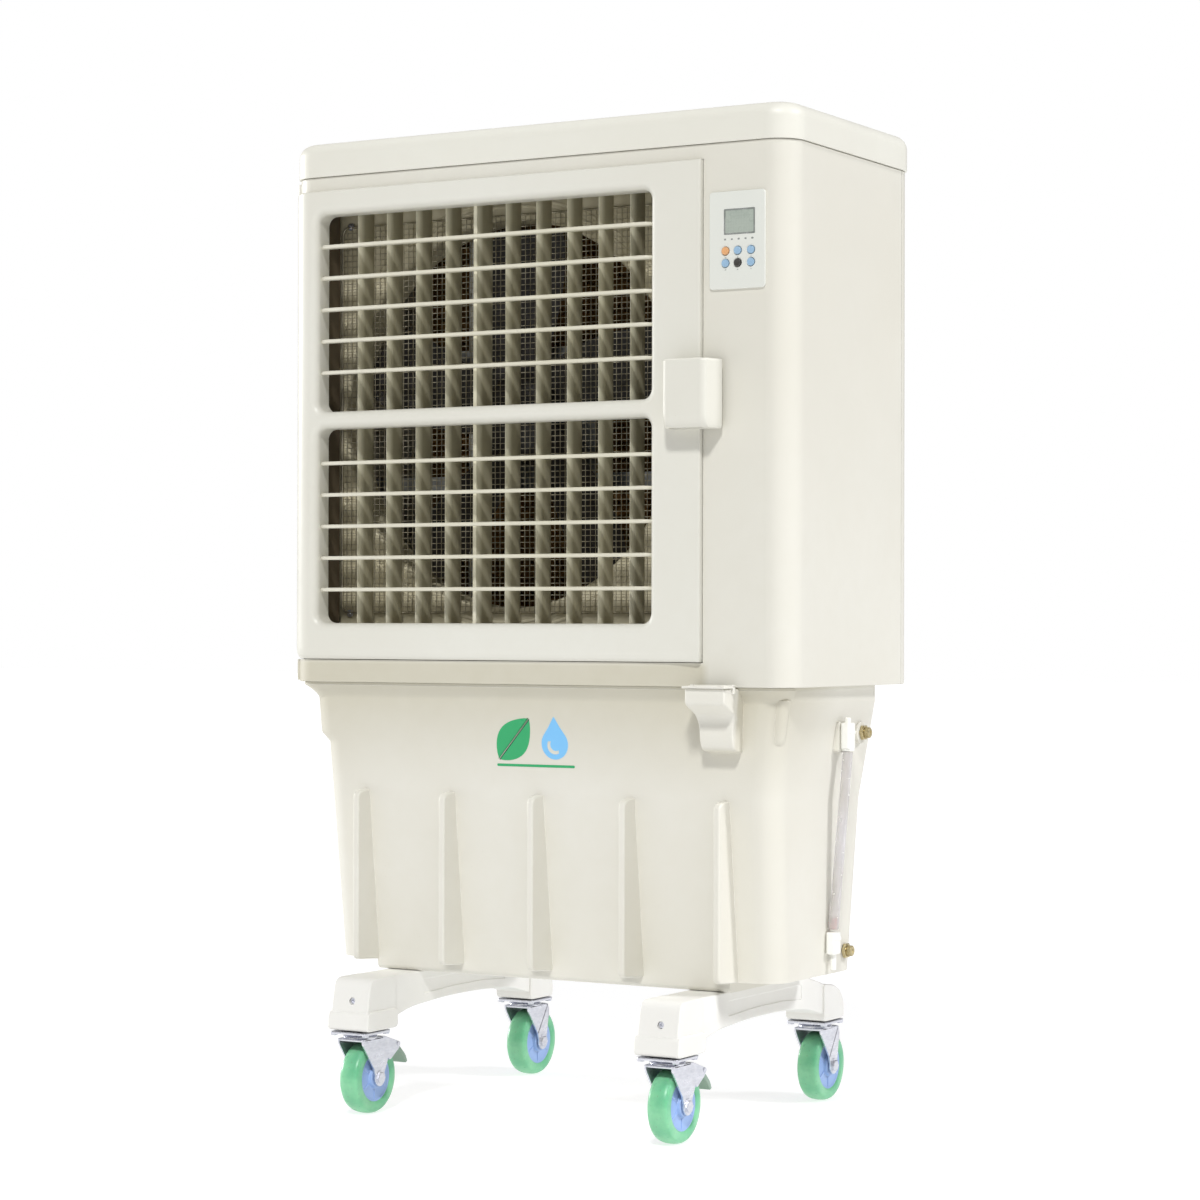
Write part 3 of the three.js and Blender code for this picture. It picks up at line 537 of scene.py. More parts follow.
def clear(name, colour):
    """A clear tube with a film of scale inside."""
    finish = Finish(name)
    film = finish.spread(finish.noise(60, 4, (1, 1, 0.3)), 0.4, 0.75, 0.0, 0.4)
    finish.set(Base_Color=finish.mix(film, linear(colour), linear(0xd8d2c0)))
    finish.set(Transmission_Weight=0.62, IOR=1.18)
    finish.set(Roughness=finish.spread(finish.noise(110, 4), 0.3, 0.7, 0.05, 0.28))
    finish.bump(finish.noise(40, 2), 0.1, 0.2)
    return finish.material


def cellulose(name):
    """Corrugated pad paper, darker and scaled where the water runs."""
    finish = Finish(name)
    fibres = finish.noise(500, 5, (1, 1, 0.25))
    base = finish.mix(finish.spread(fibres, 0.3, 0.7), linear(0xb58a52), linear(0x8f6736))
    runs = finish.spread(finish.noise(22, 5, (1, 1, 0.12)), 0.45, 0.7, 0.0, 0.6)
    base = finish.mix(runs, base, linear(0x5d4526))
    scale = finish.spread(finish.noise(130, 4), 0.62, 0.76, 0.0, 0.5)
    base = finish.mix(scale, base, linear(0xcdbf9d))
    finish.set(Base_Color=base, IOR=1.4)
    finish.set(Roughness=finish.spread(fibres, 0.3, 0.7, 0.78, 0.96))
    finish.bump(fibres, 0.35, 0.5)
    return finish.material


def display(name):
    """A blank liquid-crystal window: grey-green, with a faint grid of cells under its gloss."""
    finish = Finish(name)
    cells = finish.add("ShaderNodeTexBrick")
    cells.offset = 0.0
    for key, value in (("Scale", 260.0), ("Mortar Size", 0.04), ("Brick Width", 1.0),
                       ("Row Height", 1.0)):
        cells.inputs[key].default_value = value
    turn = finish.add("ShaderNodeMapping")
    turn.inputs["Rotation"].default_value = (math.pi / 2, 0, 0)
    finish.link(finish.coords.outputs["Object"], turn.inputs["Vector"])
    finish.link(turn.outputs["Vector"], cells.inputs["Vector"])
    cells.inputs["Color1"].default_value = linear(0xa2aca2)
    cells.inputs["Color2"].default_value = linear(0xa6afa5)
    cells.inputs["Mortar"].default_value = linear(0x98a298)
    tint = finish.spread(finish.noise(40, 2), 0.3, 0.7, 0.0, 0.4)
    finish.set(Base_Color=finish.mix(tint, cells.outputs["Color"], linear(0xb1b9ae)))
    finish.set(Coat_Weight=0.6, Coat_Roughness=0.06, IOR=1.5)
    finish.set(Roughness=finish.spread(finish.noise(120, 3), 0.3, 0.7, 0.22, 0.38))
    finish.bump(finish.noise(500, 2), 0.05, 0.1)
    return finish.material


# The housing's fade is painted shade: a darker beige strip on the front below the door, where the door's
# overhang shades it.
HOUSING = plastic("housing_ivory", 0xdedcd2, 0xd8d5c9, 0.42, dust=0.04,
                  fade=(0xb4ad92, 0.55, [("Z", 0.632, 0.622), ("Y", -0.15, -0.165), ("X", 0.28, 0.268)]))
COVER = plastic("cover_ivory", 0xe3e2d8, 0xdddbd0, 0.42)
DOOR = plastic("door_ivory", 0xdfded5, 0xd9d7cc, 0.38)
# The tank's fade is painted shade: its upper front darkens towards the rim, where the housing above
# shades it; the protruding fill scoop is left out.
TANK = plastic("tank_ivory", 0xe1dfd6, 0xdbd8cc, 0.48, grain=420, relief=0.2, dust=0.08,
               fade=(0xb8b29b, 0.62, [("Z", 0.45, 0.575), ("Y", 0.0, -0.14), ("Y", -0.19, -0.184)]))
VANE = plastic("vane_ivory", 0xe0ddcf, 0xd3cfbb, 0.42)
# The upright vanes' and mullion's fade is painted shade: their faces darken from the lit front edge
# towards the back, deep in the duct.
UPRIGHT = plastic("upright_ivory", 0xe4e0cc, 0xd8d3b9, 0.5, wear=0xe6e2d0,
                  fade=(0x9b957b, 0.9, [("Y", -0.159, -0.149)]))
# Painted shade: the duct's top and bottom are the door's plastic, coloured dark olive for the shade they
# lie in.
DUCT_LEVEL_SHADE = plastic("duct_level_painted_shade", 0x958c70, 0x857c60, 0.6, wear=0xa89f84)
# Painted shade: the duct's side walls are coloured dark brown for the deep shade inside the duct.
DUCT_SIDE_SHADE = plastic("duct_side_painted_shade", 0x6b5f4c, 0x574c3c, 0.6, wear=0x7e7260)
PLATE = plastic("inner_plate", 0xd9d2b9, 0xc8c0a2, 0.6, wear=0xe6e0cc, relief=0.2)
DARK = plastic("dark_plastic", 0x2b2623, 0x1d1a19, 0.45, wear=0x5a534c)
MOTOR = plastic("motor_paint", 0x383430, 0x26231f, 0.5, wear=0x7c776e, relief=0.3)
BEAM = plastic("beam_white", 0xefeeea, 0xe8e7e2, 0.45, dust=0.06)
LABEL = plastic("panel_label", 0xe3e4dc, 0xdadcd5, 0.32, relief=0.06)
WHITE = plastic("white_plastic", 0xf6f6f2, 0xe9e9e2, 0.36)
ORANGE = plastic("button_orange", 0xe9b585, 0xdea672, 0.34, wear=0xf8d9b9)
BLUE = plastic("button_blue", 0xa5c4dc, 0x93b4cf, 0.34, wear=0xc6dcee)
BLACK = plastic("button_black", 0x4a4844, 0x3c3a37, 0.34, wear=0x74716b)
MARKS = plastic("panel_marks", 0x8b8f8a, 0x7b807b, 0.4)
PEDAL = plastic("pedal_plastic", 0x93ac9d, 0x7f998a, 0.5, wear=0xc2d0c6, dust=0.2)
HUB = plastic("hub_plastic", 0xa6c0ea, 0x8fadde, 0.35, wear=0xd8e4f6)
RED = plastic("float_red", 0xd9573f, 0xc3452f, 0.36, wear=0xeb9a88)
EMBLEM_GREEN = plastic("emblem_green", 0x27a566, 0x1f9a5c, 0.3, relief=0.05, wear=0x66c795)
EMBLEM_BLUE = plastic("emblem_blue", 0x7cc0f0, 0x6bb4ea, 0.3, relief=0.05, wear=0xb4dcf8)
STEEL = metal("bracket_steel", 0xb4b6b6, 0x9a9c9c, 0.36, (1, 1, 0.1))
ZINC = metal("zinc_steel", 0xe2e3ea, 0xcfd1da, 0.3, (1, 0.3, 1), stained=0.12)
WIRE = metal("guard_wire", 0xcfc9b6, 0xb3ac97, 0.38, stained=0.5)
BRASS = metal("plug_brass", 0xd0c29a, 0xb3a57c, 0.3, stain=0x77683f, stained=0.5)
TYRE = urethane("caster_tyre", 0x8ad0a2, 0x63b88a)
CLEAR = clear("gauge_clear", 0xf3f1f2)
PAPER = cellulose("pad_cellulose")
SCREEN = display("screen_glass")


# ---------------------------------------------------------------- camera, lights and floor

CAMERA_PLACE = Vector((2.1795, -3.7141, 0.6792))
CAMERA_YAW, CAMERA_PITCH, CAMERA_ROLL = 30.38, -0.44, 0.14      # degrees
CAMERA_LENS = 91.64

SUNS = [                               # azimuth, elevation, angle, strength, colour
    (24, 45, 7, 1.85, (1.0, 1.0, 1.0)),
    (103, 36, 9, 1.5, (0.985, 0.985, 1.02)),
    (-90, 12, 9, 1.8, (1.0, 1.0, 1.0)),
]
SKY_LIGHT = 0.28
FLOOR_COLOUR, FLOOR_GLOW = (0.4, 0.4, 0.4), 0.72


def add_camera():
    yaw, pitch, roll = (math.radians(a) for a in (CAMERA_YAW, CAMERA_PITCH, CAMERA_ROLL))
    forward = Vector((-math.sin(yaw) * math.cos(pitch), math.cos(yaw) * math.cos(pitch),
                      -math.sin(pitch)))
    right = Vector((math.cos(yaw), math.sin(yaw), 0))
    up = right.cross(forward)
    rolled_right = right * math.cos(roll) + up * math.sin(roll)
    rolled_up = up * math.cos(roll) - right * math.sin(roll)
    data = bpy.data.cameras.new("camera")
    data.lens, data.sensor_width = CAMERA_LENS, 36
    camera = bpy.data.objects.new("camera", data)
    turn = Matrix((rolled_right, rolled_up, -forward)).transposed().to_4x4()
    camera.matrix_world = Matrix.Translation(CAMERA_PLACE) @ turn
    scene.collection.objects.link(camera)
    scene.camera = camera


def add_sun(azimuth, elevation, angle, strength, colour):
    """A broad soft light from far away; azimuth is degrees from the front towards the right."""
    data = bpy.data.lights.new("sun", "SUN")
    data.energy, data.angle, data.color = strength, math.radians(angle), colour
    light = bpy.data.objects.new("sun", data)
    turn, rise = math.radians(azimuth), math.radians(elevation)
    towards = Vector((math.sin(turn) * math.cos(rise), -math.cos(turn) * math.cos(rise), math.sin(rise)))
    light.rotation_euler = towards.to_track_quat("Z", "Y").to_euler()
    scene.collection.objects.link(light)


def add_stage():
    bpy.ops.mesh.primitive_plane_add(size=60)
    floor = bpy.context.object
    floor.name = "studio_floor"
    finish = Finish("studio_floor")
    tone = finish.spread(finish.noise(0.7, 2), 0.3, 0.7, 0.0, 0.3)
    pale = finish.mix(tone, (*FLOOR_COLOUR, 1), (*(c * 0.97 for c in FLOOR_COLOUR), 1))
    finish.set(Base_Color=pale, Roughness=0.8, Specular_IOR_Level=0.1)
    finish.set(Emission_Color=(1, 1, 1, 1), Emission_Strength=FLOOR_GLOW)
    floor.data.materials.append(finish.material)
    world = bpy.data.worlds.new("studio")
    world.use_nodes = True
    nodes, links = world.node_tree.nodes, world.node_tree.links
    rays = nodes.new("ShaderNodeLightPath")
    level = nodes.new("ShaderNodeMapRange")
    level.inputs["To Min"].default_value = SKY_LIGHT
    level.inputs["To Max"].default_value = 1.0
    links.new(rays.outputs["Is Camera Ray"], level.inputs["Value"])
    links.new(level.outputs["Result"], nodes["Background"].inputs["Strength"])
    nodes["Background"].inputs["Color"].default_value = (1, 1, 1, 1)
    scene.world = world
    scene.view_settings.view_transform = "Standard"
    for azimuth, elevation, angle, strength, colour in SUNS:
        add_sun(azimuth, elevation, angle, strength, colour)


# ---------------------------------------------------------------- housing

def housing_ring(inwards, z, grow=0.0, steps=14):
    corner = max(CORNER + grow - inwards, 8)
    outline = rounded(-HALF_X - grow + inwards, HALF_X + grow - inwards,
                      FRONT - grow + inwards, BACK + grow - inwards, corner, steps)
    return lift(outline, "z", z)


def housing_shell(z0, z1, edge=1.5):
    """The housing's outer skin as a solid, its top and bottom edges rounded."""
    turns = [(edge * (1 - sine), edge * (1 - cosine)) for sine, cosine in quarter(3)]
    rings = [housing_ring(inwards, z0 + rise) for inwards, rise in turns]
    rings += [housing_ring(inwards, z1 - rise) for inwards, rise in reversed(turns)]
    return loft(rings)


def build_cover():
    """The lid: rounded all round, with a shallow border and a slightly raised middle panel."""
    top, bottom, overhang, fillet = COVER_HIGH.z, COVER_LOW.z, 3.0, 21.0
    ring = lambda inwards, z: housing_ring(inwards, z, overhang)
    rings = [ring(22, top - 5), ring(12, top - 8), ring(WALL, top - 20), ring(WALL, bottom + 0.6),
             ring(WALL - 0.6, bottom), ring(1.2, bottom), ring(0.3, bottom + 0.4), ring(0, bottom + 1.4)]
    rings += [ring(fillet * (1 - cosine), top - fillet + (fillet - 1) * sine)
              for sine, cosine in quarter(10)]
    border = [(52, -1.0), (53, -1.2), (54.5, -2.6), (56, -2.8), (64, -2.8), (65.5, -2.6), (67, -1.0),
              (68.5, -0.6), (100, -0.1), (150, 0.0)]
    rings += [ring(inwards, top + drop) for inwards, drop in border]
    piece(make("cover_shell", loft(rings)), "root", COVER, ["top_cover"])


def build_cabinet():
    seam = 0.7
    outside = housing_shell(HOUSING_BOTTOM, HOUSING_TOP)
    inside = loft([housing_ring(WALL, z) for z in (HOUSING_BOTTOM + WALL, HOUSING_TOP + 5)])
    tank_mouth = block(-345, 345, -150, 112, HOUSING_BOTTOM - 5, HOUSING_BOTTOM + 9, 20, 0)
    opening_top, opening_bottom = DOOR_HIGH.z + DOOR_GAP, DOOR_LOW.z - 1.0
    jamb_x = DOOR_RIGHT + DOOR_GAP
    opening = block(-HALF_X - 9, jamb_x, FRONT - 9, JAMB_Y, opening_bottom, opening_top, 0, 0)
    behind = block(-HALF_X - 9, HALF_X + 9, SEAM_Y - seam, BACK + 9, HOUSING_BOTTOM - 9, HOUSING_TOP + 9,
                   0, 0)
    left_jamb = block(-HALF_X + 1.5, DUCT[0] - 4, JAMB_Y, JAMB_Y + WALL, opening_bottom - 1,
                      opening_top + 1, 0, 0)
    right_jamb = block(jamb_x, jamb_x + WALL, FRONT + 0.2, PLATE_LOW.y - 0.5, HOUSING_BOTTOM + 1,
                       HOUSING_TOP - 2, 0, 0)
    solids = [left_jamb, right_jamb]
    for z0, z1 in ((HOUSING_BOTTOM + 2, opening_bottom), (opening_top, HOUSING_TOP - 5)):
        solids.append(block(HINGE_X - 8, HINGE_X + 9, HINGE_Y - 9, HINGE_Y + 8, z0, z1, 3, 0))
        corner = arc(-HALF_X + CORNER, FRONT + CORNER, CORNER - 1.5, 190, 270, 8)
        ledge = [(x, min(y, JAMB_Y + WALL)) for x, y in corner]
        ledge += [(jamb_x, FRONT + 1.5), (jamb_x, JAMB_Y + WALL)]
        edge = z1 - 3 if z0 < 700 else z0
        solids.append(prism(ledge, "z", edge, edge + 3, 0))
    shell = carved("cabinet_shell", [outside], [inside, tank_mouth, opening, behind])
    join(shell, *solids)
    rod_hole = cylinder(2.9, 610, 1306, "z", (HINGE_X, HINGE_Y, 0), 24)
    cut(shell, rod_hole)
    piece(shell, "root", HOUSING, ["cabinet"])
    pin = lathe([(0, 612.4), (1.8, 612.4), (2.5, 613.2), (2.5, 1302.2), (1.8, 1303), (0, 1303)], "z",
                (HINGE_X, HINGE_Y, 0), 24)
    piece(make("hinge_pin", pin), "root", STEEL, ["hinge_rod"])


def build_rear_frame():
    """The pad frame: two columns of louvres, each opening with its own slanted slat."""
    seam = 0.7
    slot_half, slot_centre, slot_height, slot_pitch, slot_rows, slot_lowest = 160, 175, 36, 52, 12, 650
    outside = housing_shell(HOUSING_BOTTOM, HOUSING_TOP)
    inside = loft([housing_ring(WALL, z) for z in (HOUSING_BOTTOM + WALL, HOUSING_TOP - WALL)])
    before = block(-HALF_X - 9, HALF_X + 9, FRONT - 9, SEAM_Y + seam, HOUSING_BOTTOM - 9,
                   HOUSING_TOP + 9, 0, 0)
    flare = [(BACK + 4, 3), (BACK, 3), (BACK - 1, 1.4), (BACK - 2.6, 0.3), (BACK - 4, 0), (BACK - 9, 0)]
    openings, slats = [], []
    for row in range(slot_rows):
        z = slot_lowest + row * slot_pitch
        for x in (-slot_centre, slot_centre):
            left, right = x - slot_half, x + slot_half
            rings = []
            for y, grow in flare:
                outline = rounded(left - grow, right + grow, z - grow, z + slot_height + grow, 6 + grow,
                                  5)
                rings.append(lift(outline, "y", y))
            openings.append(loft(rings))
            slat = softened([(BACK - 1.6, z + 2), (BACK - 0.6, z + 5), (BACK - 15, z + slot_height + 3),
                             (BACK - 18, z + slot_height + 3)], 0.8, 3)
            slats.append(prism(slat, "x", left - 3, right + 3, 0.4, 2))
    shell = carved("rear_louvres", [outside], [inside, before, merged(*openings)])
    for x in (-slot_centre, slot_centre):
        for side in (-1, 0, 1):
            rib_x = x + side * (slot_half + 1.4)
            profile = softened([(BACK - 18, slot_lowest - 4), (BACK - 3, slot_lowest - 4),
                                (BACK - 3, slot_lowest + slot_pitch * slot_rows - 8),
                                (BACK - 18, slot_lowest + slot_pitch * slot_rows - 8)], 2, 3)
            slats.append(prism(profile, "x", rib_x - 1.6, rib_x + 1.6, 0.4, 2))
    inlet = [(0, -3), (13, -3), (13, 1), (11, 2.5), (11, 8), (10, 9), (5.5, 9), (4.5, 8), (4.5, 2),
             (0, 2)]
    join(shell, lathe(inlet, "y", (-340, BACK, 620), 32))
    piece(shell, "root", HOUSING, ["rear_frame"])
    piece(make("louvre_slats", *slats), "root", HOUSING)
    screws = []
    for x in (-380 + 8, 0, 380 - 8):
        for z in (HOUSING_BOTTOM + 24, 965, HOUSING_TOP - 18):
            screws.append(screw_head(x, BACK, z, 5.2))
    piece(make("frame_screws", *screws), "root", ZINC)


def screw_head(x, y, z, radius, facing=1):
    """A pan head on a face of constant y, with a round socket turned in its middle."""
    profile = [(0, 0.9), (radius * 0.42, 0.9), (radius * 0.48, 2.1), (radius * 0.75, 1.9),
               (radius * 0.95, 1.2), (radius, 0.2), (radius, -1.0), (0, -1.0)]
    return lathe([(r, along * facing) for r, along in profile], "y", (x, y, z), 24)


def build_pad():
    """Cross-fluted paper: corrugated sheets whose waves slope up and down in turn."""
    sheets, wave, swing, thickness = 74, 22.0, 4.6, 0.45
    pitch = (PAD_HIGH.x - PAD_LOW.x - 2 * swing - 2) / (sheets - 1)
    rows, columns = 118, 6
    shapes = []
    for index in range(sheets):
        middle = PAD_LOW.x + swing + 1 + index * pitch
        slope = 1 if index % 2 else -1
        points = []
        for face in (-thickness / 2, thickness / 2):
            for row in range(rows + 1):
                z = PAD_LOW.z + (PAD_HIGH.z - PAD_LOW.z) * row / rows
                for column in range(columns + 1):
                    y = PAD_LOW.y + (PAD_HIGH.y - PAD_LOW.y) * column / columns
                    phase = 2 * math.pi * (z + slope * y * 0.8) / wave
                    points.append((middle + face + swing * math.sin(phase), y, z))
        width = columns + 1
        size = width * (rows + 1)
        faces = []
        for row in range(rows):
            for column in range(columns):
                a = row * width + column
                faces.append((a, a + 1, a + width + 1, a + width))
                faces.append((size + a, size + a + width, size + a + width + 1, size + a + 1))
        border = ([c for c in range(width)] + [r * width + columns for r in range(1, rows + 1)]
                  + [rows * width + c for c in range(columns - 1, -1, -1)]
                  + [r * width for r in range(rows - 1, 0, -1)])
        for a, b in zip(border, border[1:] + border[:1]):
            faces.append((a, b, size + b, size + a))
        shapes.append((points, faces))
    piece(make("pad_flutes", *shapes), "root", PAPER, ["cooling_pad"], 60)


# ---------------------------------------------------------------- fan

def build_fan_plate():
    """The plate behind the windows: a bell-mouthed opening with two pressed rings round it."""
    front, back, collar_back = PLATE_LOW.y, PLATE_LOW.y + 4, PLATE_HIGH.y
    plate = block(PLATE_LOW.x, PLATE_HIGH.x, front, back, PLATE_LOW.z, PLATE_HIGH.z, 3, 0.6, "y")
    lip = [(12, front + 0.5), (12, back - 0.5), (6, back + 2), (WALL, back + 8), (WALL, collar_back - 1),
           (3, collar_back), (1, collar_back), (0, collar_back - 1), (0, front + 8), (0.8, front + 4),
           (3, front + 1), (6, front - 0.2)]
    collar = lathe([(FAN_OPENING + out, y) for out, y in lip], "y", FAN_CENTRE, 128)
    opening = cylinder(FAN_OPENING + 8, front - 5, back + 5, "y", FAN_CENTRE, 128)
    rings = []
    for radius in (FAN_OPENING + 20, FAN_OPENING + 30):
        bead = [(radius + 2.5 * math.cos(a), front + 0.3 - 1.4 * math.sin(a))
                for a in (math.radians(30 * k) for k in range(7))]
        bead += [(radius - 2.5, front + 1.5), (radius + 2.5, front + 1.5)]
        rings.append(lathe(bead, "y", FAN_CENTRE, 128))
    shell = carved("plate_bellmouth", [plate], [opening])
    join(shell, collar)
    sides = block(PLATE_LOW.x - 9, PLATE_LOW.x, -150, 0, 500, 1400, 0, 0)
    trims = [boolean_ring(ring) for ring in rings]
    for trim in trims:
        boolean(shell, trim, "UNION")
    cut(shell, sides)
    piece(shell, "root", PLATE, ["fan_plate"])


def boolean_ring(shape):
    """A pressed ring cut to the plate's own width."""
    ring = make("work", shape)
    keep = block(PLATE_LOW.x + 2, PLATE_HIGH.x - 2, -150, -100, PLATE_LOW.z + 2, PLATE_HIGH.z - 2, 0, 0)
    boolean(ring, make("work", keep), "INTERSECT")
    return ring


def wire(start, end, radius, sides=6):
    return tube([start, end], radius, sides)


def build_guard():
    """Welded square mesh: upright wires in front of level ones, in a rod frame with corner clips."""
    cells, radius = 68, 0.55
    low_x, high_x, low_z, high_z = GUARD_LOW.x + 2, GUARD_HIGH.x - 2, GUARD_LOW.z + 2, GUARD_HIGH.z - 2
    front_y, back_y = GUARD_LOW.y + 0.9, GUARD_LOW.y + 1.9
    wires = []
    for i in range(1, cells):
        x = low_x + (high_x - low_x) * i / cells
        z = low_z + (high_z - low_z) * i / cells
        wires.append(wire((x, front_y, low_z), (x, front_y, high_z), radius))
        wires.append(wire((low_x, back_y, z), (high_x, back_y, z), radius))
    middle_y = (front_y + back_y) / 2
    corners = softened(rectangle(low_x, high_x, low_z, high_z), 12, 6)
    loop = [Vector((u, middle_y, v)) for u, v in corners]
    rings = []
    for i, point in enumerate(loop):
        tangent = (loop[(i + 1) % len(loop)] - loop[i - 1]).normalized()
        across = tangent.cross(Vector((0, 1, 0)))
        rings.append([tuple(point + across * u + Vector((0, v, 0))) for u, v in circle(0, 0, 1.5, 10)])
    wires.append(loft(rings, closed=True))
    piece(make("guard_mesh", *wires), "root", WIRE, ["fan_guard"])
    clips = []
    for x in (low_x + 13, high_x - 13):
        for z in (low_z - 1, high_z + 1):
            clips.append(block(x - 5, x + 5, GUARD_HIGH.y - 1, GUARD_HIGH.y, z - 5, z + 5, 3, 0.3, "y"))
            clips.append(screw_head(x, GUARD_HIGH.y - 1, z, 3.4, -1))
    piece(make("guard_clips", *clips), "root", ZINC)


def fan_blade():
    """One cambered, twisted blade that stands up from the hub along +Z."""
    root, tip = 54.0, 262.0
    stations, steps = 12, 9
    middle_y = (FAN_LOW.y + FAN_HIGH.y) / 2
    rings = []
    for s in range(stations + 1):
        t = s / stations
        radius = root + (tip - root) * t
        chord = 66 + 54 * math.sin(math.pi * min(t * 1.15 + 0.05, 1.0) * 0.62)
        if t > 0.86:
            chord *= 1 - 2.4 * (t - 0.86) ** 1.3
        pitch = math.radians(33 - 13 * t)
        sweep = -10 + 24 * t * t
        upper, lower = [], []
        for k in range(steps + 1):
            c = k / steps
            bow = 0.16 * chord * c * (1 - c)
            thick = 2.6 * math.sqrt(max(4 * c * (1 - c), 0.0)) * (1 - 0.35 * t) + 0.5
            along = (c - 0.5) * chord
            upper.append((along, bow + thick / 2))
            lower.append((along, bow - thick / 2))
        ring = []
        for along, rise in upper + lower[::-1]:
            u = along * math.cos(pitch) - rise * math.sin(pitch) + sweep
            y = middle_y + along * math.sin(pitch) * 0.86 + rise * math.cos(pitch)
            height = math.sqrt(max(radius * radius - u * u, 1.0))
            ring.append((u, y, height))
        rings.append(ring)
    return loft(rings)


def build_impeller():
    hub, front, back = 62.0, -98.0, -52.0
    dome = [(0, front - 0.5), (18, front), (34, front + 1.6), (48, front + 5), (57, front + 11),
            (61, front + 18), (hub, front + 24), (hub, back - 1), (hub - 1, back), (hub - 4, back),
            (hub - 5, back - 2),
            (hub - 5, front + 24), (30, front + 10), (10, front + 8), (10, back - 6), (8.5, back - 5),
            (8.5, front + 6), (0, front + 6)]
    blades = [spun(fan_blade(), "Y", 72 * i) for i in range(5)]
    shell = carved("impeller_blades", [lathe(dome, "y", sides=64)] + blades)
    cap = [(0, front - 0.9), (8, front - 0.9), (9, front - 0.4), (9, front + 3), (0, front + 3)]
    join(shell, lathe(cap, "y", sides=32))
    shell.location = Vector(FAN_CENTRE) * MM
    piece(shell, "fan_impeller", DARK, ["fan_impeller"])


def build_motor():
    """A finned can with end bells, bolted to its bracket through a flange."""
    can, flange, front, back = 68.0, 80.0, -45.0, MOTOR_BACK
    profile = [(0, -90), (7, -90), (8, -89), (8, front - 6), (22, front - 6), (24, front - 4),
               (50, front), (60, front + 3), (can - 2, front + 10)]
    y = front + 10
    while y < back - 18:
        profile += [(can, y + 1), (can, y + 4), (can - 3.5, y + 5), (can - 3.5, y + 7)]
        y += 8
    profile += [(can, y + 1), (can, back - 10), (can - 3, back - 4), (48, back - 1), (20, back),
                (0, back)]
    ring = lathe([(can - 5, -25.4), (flange - 1, -25.4), (flange, -24.6), (flange, -21.8),
                  (flange - 1, -21), (can - 5, -21)], "y", sides=64)
    bolts = [spun(moved(screw_head(0, -21, 0, 4.5), (0, 0, 74)), "Y", 45 + 90 * k) for k in range(4)]
    conduit = tube(bent([(30, 20, 60), (30, 20, 100), (30, 90, 120)], 18), 5, 16)
    shell = make("motor_can", lathe(profile, "y", sides=64), ring, *bolts, conduit)
    shell.location = Vector(FAN_CENTRE) * MM
    piece(shell, "root", MOTOR, ["fan_motor"])


def build_bracket():
    front, back, bar, half = -30.0, -26.0, 20.0, 100.0
    width = PLATE_HIGH.x
    solids = [block(FAN_X - 93, FAN_X + 93, front, back, FAN_Z - half, FAN_Z + half, 10, 0.6, "y")]
    for z in (FAN_Z - half, FAN_Z + half - bar):
        solids.append(block(-width, width, front, back, z, z + bar, 1.5, 0.6, "y"))
        for edge_z in (z + 0.2, z + bar - 2.2):
            solids.append(block(-width + 30, width - 30, front + 1, back + 12, edge_z, edge_z + 2, 0.6,
                                0.3, "x"))
    hollow = cylinder(68.6, -60, 20, "y", FAN_CENTRE, 64)
    piece(carved("bracket_pressing", solids, [hollow]), "root", STEEL, ["motor_bracket"])


def build_water_circuit():
    """Sump pump with a grilled intake, and the pipe that carries water up over the pad."""
    x, y = -230.0, 35.0
    low, high = PUMP_BOTTOM, 250.0
    body = block(x - 35, x + 35, y - 32, y + 28, low, high - 8, 9, 2)
    grooves = [block(x - 40, x + 40, y - 60, y + 60, z, z + 2.4, 0, 0)
               for z in (low + 8, low + 14, low + 20)]
    core = block(x - 31, x + 31, y - 28, y + 24, low + 2, high - 10, 7, 0)
    cap = lathe([(0, high - 9), (30, high - 9), (30, high - 4), (26, high), (15, high + 2),
                 (13, high + 5), (13, high + 24), (12, high + 25), (0, high + 25)], "z", (x, y, 0), 40)
    shell = carved("pump_body", [body], grooves)
    join(shell, core, cap)
    piece(shell, "root", DARK, ["water_pump"])
    header_y, header_z = 140.0, PAD_HIGH.z + 11
    corners = [(x, y, high + 25.5), (x, y, header_z), (x, header_y, header_z),
               (PAD_HIGH.x - 31, header_y, header_z)]
    route = bent(corners, 22)
    end_profile = [(0, 0), (10.2, 0), (10.2, 12), (9, 14), (0, 14)]
    end_cap = lathe(end_profile, "x", (PAD_HIGH.x - 45, header_y, header_z), 24)
    collar = [(0, 0), (10.4, 0), (11.2, 1), (11.2, 11), (10.4, 12), (0, 12)]
    collars = [lathe(collar, "z", (x, y, z), 24) for z in (high + 27, 700, 1000)]
    pipe = make("supply_pipe", tube(route, 9, 24), end_cap, *collars)
    piece(pipe, "root", WHITE, ["water_pipe"])


# ---------------------------------------------------------------- front door

def door_ring(z, push, steps=16):
    """The door seen from above at one height, its face pushed back by so much."""
    corner_x, corner_y = -HALF_X + CORNER, DOOR_FRONT + CORNER
    start = 180 + math.degrees(math.asin((corner_y - DOOR_BACK) / CORNER))
    ring = []
    for x, y in arc(corner_x, corner_y, CORNER - push, start, 270, steps):
        ring.append((x, min(y, DOOR_BACK), z))
    for k in range(1, 15):
        x = corner_x + (DOOR_RIGHT - 6 - corner_x) * k / 14
        fade = 1 - max(0.0, (x - 190) / (DOOR_RIGHT - 6 - 190)) ** 2 * 0.85
        ring.append((x, DOOR_FRONT + push * fade, z))
    last_push = push * 0.15
    corner = 3.0
    side = DOOR_RIGHT - min(last_push, 1.2)
    for u, v in arc(side - corner, DOOR_FRONT + last_push + corner, corner, 285, 360, 5):
        ring.append((u, v, z))
    ring.append((side, DOOR_BACK, z))
    return ring


